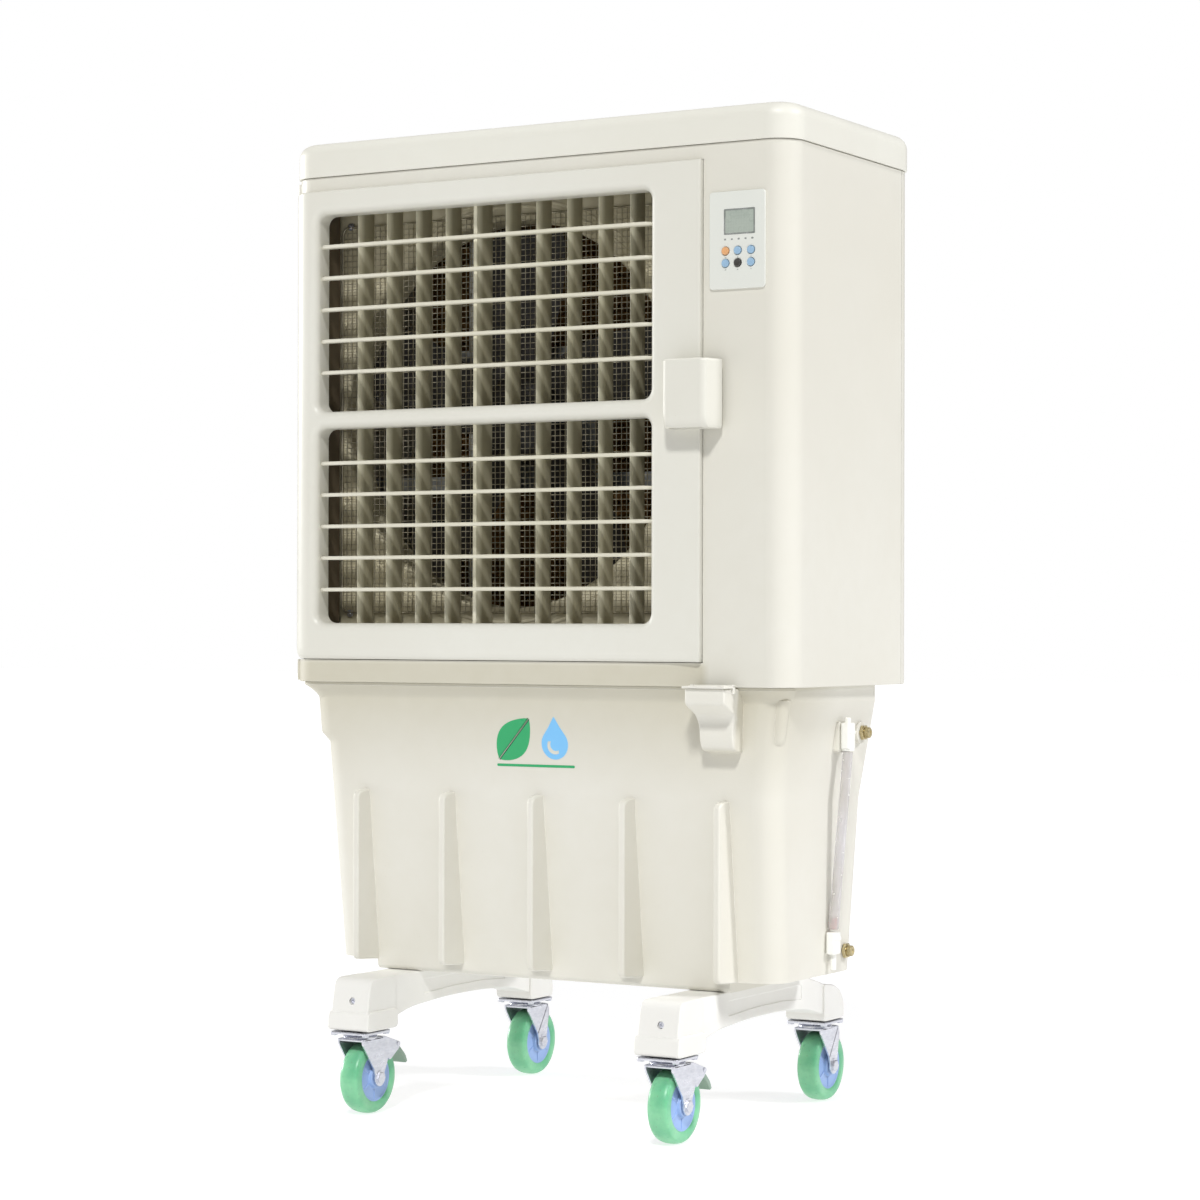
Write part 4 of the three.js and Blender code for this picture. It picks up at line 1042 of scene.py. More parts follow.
def door_skin():
    depth, rise, top_edge = 7.0, 15.0, 3.0
    rings = [door_ring(DOOR_LOW.z + rise * (1 - cosine), depth * (1 - sine))
             for sine, cosine in quarter(8)]
    rings += [door_ring(DOOR_HIGH.z - top_edge * (1 - sine), top_edge * (1 - cosine))
              for sine, cosine in quarter(4)]
    return loft(rings)


def window_outline(z0, z1, grow):
    return rounded(WINDOW_LEFT - grow, WINDOW_RIGHT + grow, z0 - grow, z1 + grow, WINDOW_CORNER + grow,
                   10)


def window_cutter(z0, z1):
    """Flares towards the front, so the opening's edge is rounded."""
    flare = 11.8
    stations = [(DOOR_FRONT - 8, flare), (DOOR_FRONT - 0.01, flare)]
    stations += [(DOOR_FRONT + flare * (1 - cosine), flare * (1 - sine))
                 for sine, cosine in quarter(6)[1:]]
    stations.append((DOOR_BACK + 9, 0))
    return loft([lift(window_outline(z0, z1, grow), "y", y) for y, grow in stations])


def build_door():
    left, right, bottom, top = DUCT
    hollow_ring = arc(-HALF_X + CORNER, DOOR_FRONT + CORNER, CORNER - WALL, 191, 270, 12)
    hollow_ring += [(DOOR_RIGHT - WALL, DOOR_FRONT + WALL), (DOOR_RIGHT - WALL, DOOR_BACK + 6),
                    (-HALF_X + WALL + 0.6, DOOR_BACK + 6)]
    hollow = loft([lift(hollow_ring, "z", z) for z in (DOOR_LOW.z + WALL, DOOR_HIGH.z - WALL)])
    shell = carved("door_shell", [door_skin()], [hollow])
    solids = []
    for z0, z1 in WINDOWS.values():
        solids.append(prism(window_outline(z0, z1, WALL), "y", DOOR_FRONT + 2, DOOR_BACK, 0))
    solids.append(block(left, right, DOOR_BACK - WALL, DOOR_BACK, bottom, top, 3, 0, "y"))
    middle = (LATCH_LOW.z + LATCH_HIGH.z) / 2
    solids.append(block(229.4, 237.4, -208, DOOR_FRONT + 1, middle - 9.5, middle + 9.5, 3, 0.5))
    solids.append(cylinder(2.4, middle - 18, middle + 18, "z",
                        (233.4, -204, 0), 20))
    join(shell, *solids)
    for z0, z1 in WINDOWS.values():
        cut(shell, window_cutter(z0, z1))
    knuckles, count = [], 5
    length = (DOOR_HIGH.z - DOOR_LOW.z) / count
    for k in range(count):
        z0 = DOOR_LOW.z + k * length + 0.2
        z1 = z0 + length - 2.4
        knuckle = [(2.9, z0), (4.9, z0), (5.5, z0 + 0.8), (5.5, z1 - 0.8), (4.9, z1), (2.9, z1)]
        knuckles.append(lathe(knuckle, "z", (HINGE_X, HINGE_Y, 0), 28))
    rod_room = cylinder(4, 600, 1330, "z", (HINGE_X, HINGE_Y, 0), 28)
    cut(shell, rod_room)
    join(shell, *knuckles)
    piece(shell, "front_door", DOOR, ["front_door"])
    # The duct's top and bottom take a dark olive finish that is painted shade.
    levels = [block(left, right, DOOR_BACK, DUCT_BACK, z0, z0 + WALL, 1.2, 0.8, "x")
              for z0 in (bottom, top - WALL)]
    piece(make("duct_levels", *levels), "front_door", DUCT_LEVEL_SHADE)
    post = block(MULLION_X - 3, MULLION_X + 3, DOOR_BACK, DUCT_BACK, bottom + WALL - 0.6,
                 top - WALL + 0.6, 1.5, 0.4)
    piece(make("mullion_post", post), "front_door", UPRIGHT)
    # The duct's side walls take a dark brown finish that is painted shade.
    sides = [block(x0, x0 + WALL, DOOR_BACK, DUCT_BACK, bottom + WALL - 0.6, top - WALL + 0.6, 1.2, 0.8,
                   "z")
             for x0 in (left, right - WALL)]
    piece(make("duct_sides", *sides), "front_door", DUCT_SIDE_SHADE)


def build_latch():
    """A rounded grip that stands off the door, with a finger hollow underneath."""
    left, right, bottom, top, front = 228.0, LATCH_HIGH.x, LATCH_LOW.z, LATCH_HIGH.z, LATCH_LOW.y
    back = DOOR_FRONT - 0.3
    plan = softened([(left, back), (left, front + 7), (left + 6, front), (right - 15, front),
                     (right - 9, front + 3), (right, back)], [5.4, 4, 5, 5, 5, 1.2], 5)
    rings = []
    for sine, cosine in quarter(8)[::-1]:
        rings.append((bottom + 20 * (1 - sine), 11 * (1 - cosine), 1.5 * (1 - cosine)))
    for sine, cosine in quarter(5):
        rings.append((top - 4 * (1 - sine), 3.5 * (1 - cosine), 3 * (1 - cosine)))
    levels = []
    for z, push, narrow in rings:
        level = []
        for x, y in plan:
            depth = (back - y) / (back - front)
            share = (x - (left + right) / 2) / ((right - left) / 2)
            level.append((x - share * narrow, y + push * depth, z))
        levels.append(level)
    finger_room = softened([(front + 7, bottom - 4), (back - 5, bottom - 4), (back - 5, bottom + 10),
                            (front + 16, bottom + 24), (front + 10, bottom + 16)], 3)
    hollow = prism(finger_room, "x", left + 8, right - 16, 3)
    middle = (bottom + top) / 2
    lug_room = block(left - 6, 246.4, -215, back + 3, middle - 10, middle + 10, 1, 0)
    shell = carved("latch_grip", [loft(levels)], [hollow, lug_room])
    piece(shell, "door_latch", DOOR, ["door_latch"])


# ---------------------------------------------------------------- vanes

def blade_section(nose, tail, nose_half, tail_half, steps=5):
    """A slim section from a round nose to a thin tail: (depth, half thickness) points."""
    points = [(nose + nose_half * (1 - sine), nose_half * cosine)
              for sine, cosine in quarter(steps)][::-1]
    length = tail - nose
    points += [(nose + length * 0.45, nose_half * 0.82),
               (nose + length * 0.8, nose_half * 0.5 + tail_half * 0.3),
               (tail - tail_half * 0.5, tail_half), (tail, tail_half * 0.3)]
    lower = [(depth, -half) for depth, half in points[::-1]]
    return points + [p for p in lower if abs(p[1]) > 1e-6]


def build_level_vanes():
    """Ten level blades whose noses are rounded off in plan towards both ends."""
    front, back, pivot = -194.0, -170.0, -182.0
    left, right, shoulder, recess = WINDOW_LEFT + 0.7, WINDOW_RIGHT - 0.7, 16.0, 9.0
    section = blade_section(front, back, 2.7, 0.9)
    stations = []
    for k in range(8):
        t = k / 7
        stations.append((left + shoulder * t, recess * (1 - math.sin(math.radians(90 * t))) ** 1.4))
    mirror = [(left + right - x, drop) for x, drop in reversed(stations)]
    middle = [(left + (right - left) * t, 0.0) for t in (0.25, 0.5, 0.75)]
    rings = []
    for x, drop in stations + middle + mirror:
        shrink = 1 - drop / (back - front)
        rings.append([(x, back + (y - back) * shrink, z * (1 - 0.02 * drop)) for y, z in section])
    pins = []
    for x0, x1 in ((left - 2.4, left + 5), (right - 5, right + 2.4)):
        pin = [(0, x0), (2.0, x0), (2.4, x0 + 0.5), (2.4, x1 - 0.5), (2.0, x1), (0, x1)]
        pins.append(lathe(pin, "x", (0, pivot, 0), 16))
    blade = carved("work", [loft(rings)] + pins)
    for window in WINDOWS:
        for place in range(5):
            node = f"h_vane_{window}_{place + 1}"
            low, high = node_box(node)
            copy = twin(blade, f"level_blade_{window}_{place + 1}", (0, 0, (low.z + high.z) / 2))
            piece(copy, node, VANE, [node])
    bpy.data.objects.remove(blade)


def build_upright_vanes():
    """Nine upright blades, lens-shaped, each with a crank pin at its foot."""
    front, back, pivot = -164.0, -124.5, -144.0
    bottom, top = DUCT[2] + WALL + 0.6, DUCT[3] - WALL - 0.6
    section = []
    for k in range(13):
        t = k / 12
        half = 2.0 * math.sin(math.pi * t) ** 0.55 if 0 < t < 1 else 0.0
        section.append((half + 0.25, front + (back - front) * t))
    outline = section + [(-x, y) for x, y in section[::-1]]
    shapes = [prism(outline, "z", bottom, top, 0.2, 1)]
    for z0, z1 in ((bottom - 3, bottom + 4), (top - 4, top + 3)):
        shapes.append(cylinder(2.4, z0, z1, "z", (0, pivot, 0), 16))
    blade = carved("work", shapes)
    for index in range(9):
        node = f"v_vane_{index + 1}"
        low, high = node_box(node)
        copy = twin(blade, f"upright_blade_{index + 1}", ((low.x + high.x) / 2, 0, 0))
        piece(copy, node, UPRIGHT, [node])
    bpy.data.objects.remove(blade)


# ---------------------------------------------------------------- control panel

BUTTONS = [(304.0, 1166.0, ORANGE, "button_orange"), (322.0, 1166.0, BLUE, "button_blue"),
           (341.5, 1166.0, BLUE, "button_blue"), (304.0, 1150.0, BLUE, "button_blue"),
           (322.0, 1150.0, BLACK, "button_black"), (341.5, 1150.0, BLUE, "button_blue")]


def build_panel():
    """A label plate with a recessed display, five marks and six domed buttons in wells."""
    left, right, bottom, top = PANEL_LOW.x, PANEL_HIGH.x, PANEL_LOW.z, PANEL_HIGH.z
    front = PANEL_LOW.y
    screen = (301.0, 347.0, 1187.0, 1221.0)
    plate = prism(rounded(left, right, bottom, top, 5, 6), "y", front, FRONT + 0.5, 0.9, 3)
    well = [(0, front - 2), (6.3, front - 2), (6.3, front), (5.8, front + 0.5), (5.8, FRONT + 4),
            (0, FRONT + 4)]
    wells = [lathe(well, "y", (x, 0, z), 32) for x, z, _, _ in BUTTONS]
    window_rings = []
    for y, grow in ((front - 2, 0.8), (front, 0.8), (front + 0.6, 0.0), (front + 1.6, 0.0)):
        outline = rounded(screen[0] - grow, screen[1] + grow, screen[2] - grow, screen[3] + grow,
                          1.6 + grow, 5)
        window_rings.append(lift(outline, "y", y))
    shell = carved("panel_plate", [plate], [loft(window_rings)] + wells)
    piece(shell, "root", LABEL, ["control_panel"])
    frame_outer = rounded(screen[0] + 0.2, screen[1] - 0.2, screen[2] + 0.2, screen[3] - 0.2, 1.4, 5)
    surround = carved("screen_surround", [prism(frame_outer, "y", front + 0.7, front + 1.5, 0.2, 1)],
                      [block(screen[0] + 2.4, screen[1] - 2.4, front - 3, front + 5, screen[2] + 2.4,
                             screen[3] - 2.4, 1.2, 0, "y")])
    piece(surround, "root", MARKS)
    glass = prism(rounded(screen[0] + 2.2, screen[1] - 2.2, screen[2] + 2.2, screen[3] - 2.2, 1.2, 5),
                  "y", front + 0.9, front + 1.5, 0.2, 2)
    piece(make("screen_window", glass), "root", SCREEN)
    marks = [prism(rounded(x - 1.7, x + 1.7, 1179.8, 1182.2, 1.0, 4), "y", front - 0.15, front + 0.5,
                   0.1, 1)
             for x in (303.5, 313.5, 323.5, 333.5, 343.5)]
    marks += [prism(rounded(x - 1.2, x + 1.2, z - 9.2, z - 8.2, 0.4, 3), "y", front - 0.12, front + 0.5,
                    0.1, 1)
              for x, z, _, _ in BUTTONS]
    piece(make("panel_marks", *marks), "root", MARKS)
    for number, (x, z, finish, slot) in enumerate(BUTTONS, 1):
        node = f"button_{number}"
        low, high = node_box(node)
        radius = (high.x - low.x) / 2
        profile = [(0, low.y + 0.5), (radius * 0.35, low.y + 0.42), (radius * 0.6, low.y + 0.2),
                   (radius * 0.78, low.y), (radius * 0.92, low.y + 0.3), (radius, low.y + 0.9),
                   (radius, high.y), (0, high.y)]
        key = make(f"key_{number}", lathe(profile, "y", sides=36))
        key.location = Vector((x, 0, z)) * MM
        piece(key, node, finish, [node])


# ---------------------------------------------------------------- water tank

def tank_sides(z):
    """Left, right, front and back of the tank's outer face at a height."""
    t = (z - TANK_BOTTOM) / (TANK_TOP - TANK_BOTTOM)
    swell = min(max((z - 440) / 140, 0.0), 1.0)
    band = min(max((z - 511) / 13, 0.0), 1.0)
    left, right = -353 - 10 * t - 13.2 * band, 353 + 10 * t + 13.2 * swell
    return left, right, -134 - 40 * t, 98 + 40 * t + 6.5 * swell


def tank_ring(z, inwards=0.0, steps=12):
    left, right, front, back = tank_sides(z)
    outline = rounded(left + inwards, right - inwards, front + inwards, back - inwards,
                      TANK_CORNER - inwards, steps)
    return lift(outline, "z", z)


def tank_outside():
    """The tub: rounded foot, straight draft, swelling ends, and a rim that sweeps out at the top."""
    foot, flank_top, sweep_rise = 7, 573, 19
    rings = [tank_ring(TANK_BOTTOM + foot * (1 - cosine), foot * (1 - sine))
             for sine, cosine in quarter(4)]
    rings += [tank_ring(z)
              for z in (260, 340, 440, 470, 495, 509, 512, 515, 520, 523, 526, 545, flank_top)]
    left, right, front, back = tank_sides(flank_top)
    outline = rounded(left, right, front, back, TANK_CORNER, 12)
    sweep = [(flank_top + sweep_rise * k / 8, (k / 8) ** 1.5) for k in range(1, 9)]
    for z, out in sweep + [(TANK_TOP - 1, 1.0), (TANK_TOP, 0.95)]:
        ring = []
        for x, y in outline:
            near = min(max((-104 - y) / 50, 0.0), 1.0)
            share = out * near * near * (3 - 2 * near)
            across = max(-1.0, min(x / (right - TANK_CORNER), 1.0))
            ring.append((x + across * (RIM_HALF - right) * share, y + (RIM_FRONT - front) * share, z))
        rings.append(ring)
    return loft(rings)


def tank_fin(x, side):
    """A tall rib with soft edges; side is -1 at the front and 1 at the back."""
    face, root = (-184, -128) if side < 0 else (150, 92)
    outline = softened([(face, 207), (face, 443), (root, 449), (root, 203)], [9, 12, 0, 0], 6)
    points, faces = prism(outline, "x", -4.8, 4.8, 2.6, 4)
    wider = []
    for px, py, pz in points:
        depth = abs(py - face) / abs(root - face)
        wider.append((x + px * (1 + 0.75 * depth), py, pz))
    return wider, faces


def tank_column():
    """A round rib at the right front corner, under the rim."""
    levels = [(514.5, 352.5, -144.5, 3), (517, 355, -146, 6.5), (521, 357, -147.2, 8.8),
              (528, 359.5, -148.2, 10), (578.6, 366, -151, 12), (579.6, 366, -151, 11.4),
              (580, 366, -151, 10.4)]
    return loft([lift(circle(x, y, radius, 28), "z", z) for z, x, y, radius in levels])


def fill_scoop():
    """The pocket that the tank is filled through: a lip, a sloping front and a shallower belly."""
    left, right = SCOOP_LEFT, SCOOP_RIGHT
    outline = softened([(-226, 594.5), (-226, 574), (-199, 560), (-194, 551), (-194, 528), (-188, 513),
                        (-150, 506), (-150, 594.5)], [1.5, 5, 10, 10, 10, 12, 0, 0], 6)
    points, faces = prism(outline, "x", left, right, 3, 4)
    middle = (left + right) / 2
    narrowed = []
    for x, y, z in points:
        waist = min(max((566 - z) / 30, 0.0), 1.0)
        waist = waist * waist * (3 - 2 * waist)
        narrowed.append((middle + (x - middle) * (1 - 0.16 * waist), y, z))
    return narrowed, faces


def build_tank():
    left, right = SCOOP_LEFT, SCOOP_RIGHT
    solids = [tank_outside(), tank_column()]
    solids += [tank_fin((i - 2) * FIN_PITCH, side) for i in range(5) for side in (-1, 1)]
    solids.append(fill_scoop())
    lid_y, lid_z = LID_PIVOT_Y, LID_PIVOT_Z
    for x0, x1 in ((left - 2.5, left + 2), (right - 2, right + 2.5)):
        ear = softened(rectangle(lid_y - 3, lid_y + 3, 588, lid_z + 2.8), [0, 0, 2.6, 2.6], 5)
        solids.append(prism(ear, "x", x0, x1, 0.4, 2))
    for z, y, x in ((OVERFLOW_Z, OVERFLOW_Y, 374.9), (DRAIN_Z, DRAIN_Y, 352)):
        boss = [(0, x - 12), (15, x - 12), (15, x + 0.4), (13.5, x + 1.2), (0, x + 1.2)]
        solids.append(lathe(boss, "x", (0, y, z), 36))
    for z, x in ((527, GAUGE_TOP_X - 8.4), (248, 352)):
        pad = rounded(GAUGE_Y - 13, GAUGE_Y + 13, z - 21, z + 21, 5, 5)
        solids.append(prism(pad, "x", x - 14, x + 1.2, 1, 2))
    hollow = loft([tank_ring(z, TANK_WALL) for z in (210, 440)]
                  + [lift(rounded(-356, 356, -168, 132, 30, 12), "z", z) for z in (586, TANK_TOP + 5)])
    sump = block(-278, 278, -129, 93, 195, 214, 12, 0)
    steps = [block(side * 341 - 59, side * 341 + 59, -240, 240, 150, 205, 0, 0) for side in (-1, 1)]
    scoop_hollow = prism([(-222, 620), (-222, 578), (-192, 566), (-140, 566), (-140, 586), (-196, 586),
                          (-196, 620)],
                         "x", left + WALL, right - WALL, 0)
    drain_hole = cylinder(6.5, 320, 380, "x", (0, DRAIN_Y, DRAIN_Z), 24)
    pin_hole = cylinder(1.9, left - 9, right + 9, "x", (0, lid_y, lid_z), 16)
    shell = carved("tank_shell", solids, steps + [hollow, sump, scoop_hollow, drain_hole, pin_hole])
    piece(shell, "root", TANK, ["tank"])


def build_lid():
    left, right, front = SCOOP_LEFT - 3, SCOOP_RIGHT + 3, -230.0
    pivot_y, pivot_z = LID_PIVOT_Y, LID_PIVOT_Z
    plan = rounded(left, right, front, pivot_y - 1, 3, 5)
    plate = prism(plan, "z", 595, 598, 0.9, 3)
    inner = rounded(left + 7, right - 7, front + 6, pivot_y - 7, 2, 4)
    panel = prism(inner, "z", 597.6, 598.6, 0.4, 2)
    rooms = [block(x0, x1, pivot_y - 4.6, pivot_y + 4.6, 590, 602, 0, 0)
             for x0, x1 in ((left - 3, 264.4), (318.6, right + 3))]
    barrel = lathe([(0, 264.6), (1.9, 264.6), (2.3, 265.2), (2.3, 317.8), (1.9, 318.4), (0, 318.4)], "x",
                   (0, pivot_y, pivot_z), 20)
    pin = cylinder(1.5, 260.7, 322.3, "x", (0, pivot_y, pivot_z), 16)
    shell = carved("lid_flap", [plate, panel], rooms)
    join(shell, barrel, pin)
    piece(shell, "fill_lid", TANK, ["fill_lid"])


def build_emblem():
    """A plain two-colour device on the tank's face: a leaf beside a drop."""
    front = tank_sides(519)[2]
    lean = Matrix.Rotation(math.atan2(40, TANK_TOP - TANK_BOTTOM), 4, "X")
    seat = Matrix.Translation(Vector((-3, front - 0.15, 519))) @ lean

    def flat(outline):
        return turned(prism(outline, "y", -0.35, 0.9, 0.15, 1), seat)

    def leaf_half(sign):
        tip, base, bulge, vein = Vector((-8, 30)), Vector((-58, -26)), 27.0, 1.6
        along = tip - base
        across = Vector((-along.y, along.x)).normalized() * sign
        edge = []
        for k in range(17):
            t = k / 16
            swell = math.sin(math.pi * t) ** 0.8 * (1 - 0.25 * t)
            edge.append(tuple(base + along * t + across * (vein * 0.5 + bulge * swell)))
        vein_side = [tuple(tip + across * vein), tuple(base + across * vein)]
        return edge + vein_side if sign > 0 else (edge + vein_side)[::-1]

    def drop(centre_u, centre_v, radius, height):
        outline = arc(centre_u, centre_v, radius, -215, 35, 22)
        return outline + [(centre_u + radius * 0.42, centre_v + height * 0.62),
                          (centre_u, centre_v + height),
                          (centre_u - radius * 0.42, centre_v + height * 0.62)]

    green = [flat(leaf_half(1)), flat(leaf_half(-1)), flat(rounded(-62, 62, -36, -32.5, 1.7, 5))]
    piece(make("emblem_leaf", *green), "root", EMBLEM_GREEN)
    big = carved("emblem_drop", [flat(softened(drop(32, -4, 21, 38), 2, 3))],
                 [flat_cutter(seat, 32, -6, 12)])
    piece(big, "root", EMBLEM_BLUE)


def flat_cutter(seat, u, v, radius):
    """A crescent-shaped hollow for the drop's highlight."""
    outer = arc(u, v, radius, 150, 300, 14)
    inner = arc(u + 1.5, v + 1.5, radius - 3.4, 300, 150, 14)
    return turned(prism(outer + inner, "y", -5, 5, 0), seat)


# ---------------------------------------------------------------- level gauge and plugs

def build_gauge():
    """A sight tube between two white unions, with a ring float, beside two brass plugs."""
    y, top_x, bottom_x, top_z, bottom_z = GAUGE_Y, GAUGE_TOP_X, GAUGE_BOTTOM_X, 508.0, 266.0
    run = Vector((top_x - bottom_x, 0, top_z - bottom_z))
    tilt = run.to_track_quat("Z", "Y").to_matrix().to_4x4()
    lean = Matrix.Translation(Vector((bottom_x, y, bottom_z))) @ tilt
    length = run.length
    wall = [(5.2, 1), (6.6, 1), (7, 1.5), (7, length - 1.5), (6.6, length - 1), (5.2, length - 1)]
    glass = turned(lathe(wall, "z", sides=32), lean)
    piece(make("gauge_glass", glass), "root", CLEAR, ["gauge_tube"])
    ring_profile = [(2.4, 1.4), (4.0, 1.2), (4.7, 2.2), (4.7, 13.8), (4.0, 14.8), (2.4, 14.6),
                    (2.0, 13.8), (2.0, 2.2)]
    ring = turned(lathe(ring_profile, "z", sides=32), lean)
    piece(make("float_ring", ring), "level_float", RED, ["level_float"])
    for name, x, z0, z1, nut, node in (("top_union", top_x, 508, 546, 511, "gauge_top_fitting"),
                                      ("bottom_union", bottom_x, 230, 266, 255, "gauge_bottom_fitting")):
        body = block(x - 7, x + 7, y - 10.5, y + 10.5, z0 + 3, z1 - 3 if nut < 300 else z1, 4, 1.6)
        stem = (z1, z1 + 7) if nut > 300 else (212, z0 + 4)
        spout = [(0, stem[0]), (4, stem[0]), (4, stem[1] - 1), (3, stem[1]), (0, stem[1])]
        nipple = lathe(spout, "z", (x, y, 0), 24)
        collar = [(0, 0), (8.6, 0), (9.4, 0.8), (9.4, 9.2), (8.6, 10), (0, 10)]
        ring_nut = lathe(collar, "z", (x, y, nut - 3), 8)
        screws = [lathe([(0, x + 6), (2.6, x + 6), (2.6, x + 7.6), (1.8, x + 8), (0, x + 8)], "x",
                        (0, y + dy, (z0 + z1) / 2 + 6), 16) for dy in (-6, 6)]
        shell = carved(name, [body, nipple, ring_nut] + screws)
        piece(shell, "root", WHITE, [node])
    for name, node, x, plug_y, z in (("overflow_cap", "overflow_plug", OVERFLOW_X, OVERFLOW_Y,
                                      OVERFLOW_Z),
                                     ("drain_cap", "drain_plug", DRAIN_X, DRAIN_Y, DRAIN_Z)):
        flange_profile = [(0, x), (10, x), (11, x + 1), (11, x + 4), (10, x + 5), (0, x + 5)]
        flange = lathe(flange_profile, "x", (0, plug_y, z), 6)
        knob = [(0, x + 4), (6.6, x + 4), (6.6, x + 6), (7, x + 6.5), (7, x + 11), (6.2, x + 12),
                (2.4, x + 12), (2.2, x + 11.2), (0, x + 11.2)]
        shapes = [flange, lathe(knob, "x", (0, plug_y, z), 32)]
        knurl = block(x + 6, x + 11.2, -0.5, 0.5, 6.6, 7.3, 0, 0.1)
        shapes += [moved(spun(knurl, "X", 15 * k), (0, plug_y, z)) for k in range(24)]
        if node == "drain_plug":
            thread = [(0, x - 9), (5.4, x - 9), (6, x - 8), (6, x + 1), (0, x + 1)]
            shapes.append(lathe(thread, "x", (0, plug_y, z), 24))
        piece(make(name, *shapes), node if node == "drain_plug" else "root", BRASS, [node])


# ---------------------------------------------------------------- beams and casters

def build_beams():
    """Two moulded skids: a deep block over each front caster and a short foot over each rear one."""
    spine = softened([(-205, 128), (-150, 141), (-60, 147), (40, 147), (120, 141), (168, 128), (205, 128),
                      (205, 160), (150, 178), (98, 189.7), (-134, 189.7), (-205, 189.7)],
                     [8, 20, 40, 40, 20, 10, 8, 14, 30, 8, 8, 8], 5)
    front_block = softened([(-262, 140), (-190, 140), (-190, 189.7), (-252, 189.7)], [8, 8, 8, 14], 5)
    front_foot = softened([(-266, 118), (-190, 118), (-190, 145), (-263, 145)], [8, 8, 8, 9], 5)
    rear_foot = softened([(165, 118), (229, 118), (229, 140), (218, 158), (198, 168), (165, 172)],
                         [8, 8, 10, 12, 12, 8], 5)
    solids = [prism(spine, "x", -28, 28, 2.4, 4), prism(front_block, "x", -30.5, 30.5, 2.4, 4),
              prism(front_foot, "x", -34, 34, 2.4, 4), prism(rear_foot, "x", -31, 31, 2.4, 4)]
    socket_profile = [(0, -275), (6.5, -275), (6.5, -262.5), (5, -261), (5, -250), (0, -250)]
    socket = lathe(socket_profile, "y", (3, 0, 159), 28)
    recess = softened([(-120, 156), (-40, 160), (40, 160), (100, 156), (100, 178), (-120, 178)], 6, 4)
    side_hollows = [prism(recess, "x", side * 26 - 6, side * 26 + 6, 2, 2) for side in (-1.25, 1.25)]
    shell = carved("work", solids, [socket] + side_hollows)
    bolt_profile = [(0, -253), (2.2, -253), (2.4, -255.5), (4.2, -255.5), (4.6, -254.5), (4.6, -250),
                    (0, -250)]
    bolts = make("work_bolts", lathe(bolt_profile, "y", (3, 0, 159), 24))
    for side, x in (("left", -BEAM_X), ("right", BEAM_X)):
        piece(twin(shell, f"skid_{side}", (x, 0, 0)), "root", BEAM, [f"beam_{side}"])
        piece(twin(bolts, f"skid_bolt_{side}", (x, 0, 0)), "root", ZINC)
    bpy.data.objects.remove(shell)
    bpy.data.objects.remove(bolts)


def fork_leg(braked):
    """One side plate of the fork, seen along X."""
    if braked:
        rear = [(40, 70), (65, 86), (68, 94)]
    else:
        rear = [(34, 80), (36, 98)]
    corner = [(-24, 106.5), (-24, 100), (-8, 78), (6, 60)]
    around = arc(TRAIL, WHEEL_RADIUS, 12, 165, 390, 14)
    return softened(corner, [0, 6, 12, 6], 4) + around + softened(rear + [(30, 106.5)], [6, 4, 2, 0], 4)


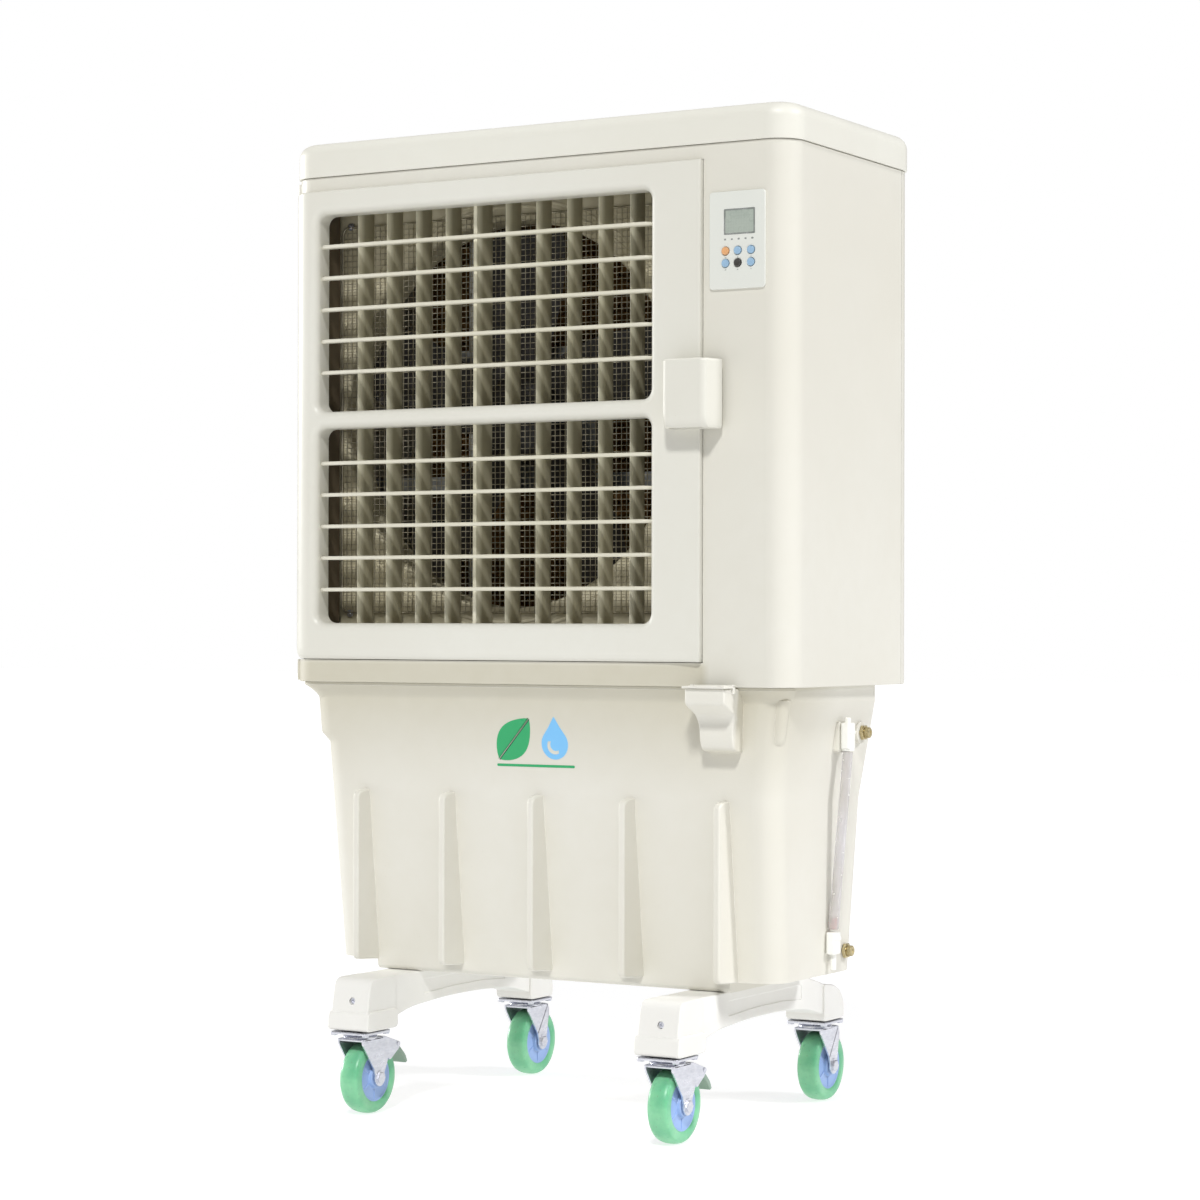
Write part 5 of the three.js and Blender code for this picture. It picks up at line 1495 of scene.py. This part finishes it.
def build_casters():
    top = 112.7
    plate = block(-31, 31, -31, 31, 112.9, 116.4, 5, 0.8)
    nuts = [lathe([(0, 110.6), (4.6, 110.6), (5.2, 111.2), (5.2, 113.4), (0, 113.4)], "z", (u, v, 0), 6)
            for u in (-26, 26) for v in (-25, 25)]
    plate_object = make("work_plate", plate, *nuts)
    race = lathe([(0, 103), (19, 103), (22.5, 105), (24, 107.5), (23.6, 109), (21, 110.4), (19.5, 111),
                  (19.5, top), (0, top)], "z", sides=48)
    crown = prism(rounded(-21.5, 21.5, -24, 30, 5, 6), "z", 103, 106.5, 1.2, 3)
    axle = cylinder(5, -23, 23, "x", (0, TRAIL, WHEEL_RADIUS), 24)
    heads = [lathe([(0, s * 21.2), (8.4, s * 21.2), (8.4, s * 24), (7.4, s * 25), (0, s * 25)], "x",
                   (0, TRAIL, WHEEL_RADIUS), 6) for s in (-1, 1)]
    washers = [cylinder(10.5, s * 21.2, s * 22.4, "x",
                     (0, TRAIL, WHEEL_RADIUS), 32) for s in (-1, 1)]
    forks = {}
    for end, braked in (("front", True), ("rear", False)):
        leg = fork_leg(braked)
        shapes = [crown, race, axle, *heads, *washers]
        for x0 in (-21.5, 18.5):
            shapes.append(prism(leg, "x", x0, x0 + 3, 0.7, 2))
        if braked:
            spindle = [(0, -22.5), (3.4, -22.5), (3.4, -21), (2, -21), (2, 21), (3.4, 21), (3.4, 22.5),
                       (0, 22.5)]
            shapes.append(lathe(spindle, "x", (0, PEDAL_Y, PEDAL_Z), 16))
        forks[end] = make(f"work_fork_{end}", *shapes)
    tread = []
    for k in range(13):
        turn = math.radians(-90 + 180 * k / 12)
        crowned = 8.5 * math.cos(turn) ** 0.55 if abs(math.cos(turn)) > 1e-6 else 0
        tread.append((41.5 + crowned, 15 * math.sin(turn)))
    tyre = lathe([(33.2, -13.5), (36, -15)] + tread + [(36, 15), (33.2, 13.5)], "x", sides=64)
    hub_half = [(5.4, -17), (13, -17), (14.2, -16.4), (15.4, -12.5), (17, -11.6), (29.5, -11.8),
                (31, -13), (33.1, -13.4)]
    hub = lathe(hub_half + [(r, -x) for r, x in reversed(hub_half)], "x", sides=64)
    ribs = [spun(block(-12.6, 12.6, -1.4, 1.4, 14, 31, 0, 0.4), "X", 60 * k) for k in range(6)]
    tyre_object, hub_object = make("work_tyre", tyre), make("work_hub", hub, *ribs)
    pedal_plate = softened([(0, 4.6), (-2, 1), (2, -3.4), (24, -23), (30, -31), (34.4, -29), (30, -19),
                            (6, 3)],
                           [3, 2, 2, 4, 1.2, 1.2, 5, 3], 4)
    barrel = [(2.4, -14), (4.2, -14), (4.7, -13.4), (4.7, 13.4), (4.2, 14), (2.4, 14)]
    shoe = softened([(-4, -1), (-2.5, -8.4), (1.5, -8.4), (3, -1)], 0.8, 3)
    pedal_shapes = [prism(pedal_plate, "x", -14, 14, 1.4, 3), lathe(barrel, "x", sides=28),
                    prism(shoe, "x", -12, 12, 0.6, 2)]
    for k in range(4):
        u, v = 22 + 3.0 * k, -20.2 - 2.9 * k
        pedal_shapes.append(prism(circle(u + 2.2, v + 2.6, 0.9, 10), "x", -12, 12, 0.3, 1))
    pedal = make("work_pedal", *pedal_shapes)
    for side, x in (("left", -BEAM_X), ("right", BEAM_X)):
        for end, y in SWIVEL_Y.items():
            name = f"{end}_{side}"
            piece(twin(plate_object, f"caster_plate_{name}", (x, y, 0)), "root", ZINC)
            fork, wheel = f"caster_fork_{name}", f"caster_wheel_{name}"
            piece(twin(forks[end], f"fork_pressing_{name}", (x, y, 0)), fork, ZINC, [fork])
            centre = (x, y + TRAIL, WHEEL_RADIUS)
            piece(twin(tyre_object, f"tyre_{name}", centre), wheel, TYRE, [wheel])
            piece(twin(hub_object, f"wheel_hub_{name}", centre), wheel, HUB)
            if end == "front":
                node = f"brake_pedal_{side}"
                piece(twin(pedal, f"pedal_{side}", (x, y + PEDAL_Y, PEDAL_Z)), node, PEDAL,
                      [node])
    for spare in (plate_object, tyre_object, hub_object, pedal, *forks.values()):
        bpy.data.objects.remove(spare)


# ---------------------------------------------------------------- the whole machine

for build in (
    add_camera, add_stage, build_cover, build_cabinet, build_rear_frame, build_pad,
    build_fan_plate, build_guard, build_impeller, build_motor, build_bracket, build_water_circuit,
    build_door, build_latch, build_level_vanes, build_upright_vanes, build_panel, build_tank,
    build_lid, build_emblem, build_gauge, build_beams, build_casters,
):
    build()
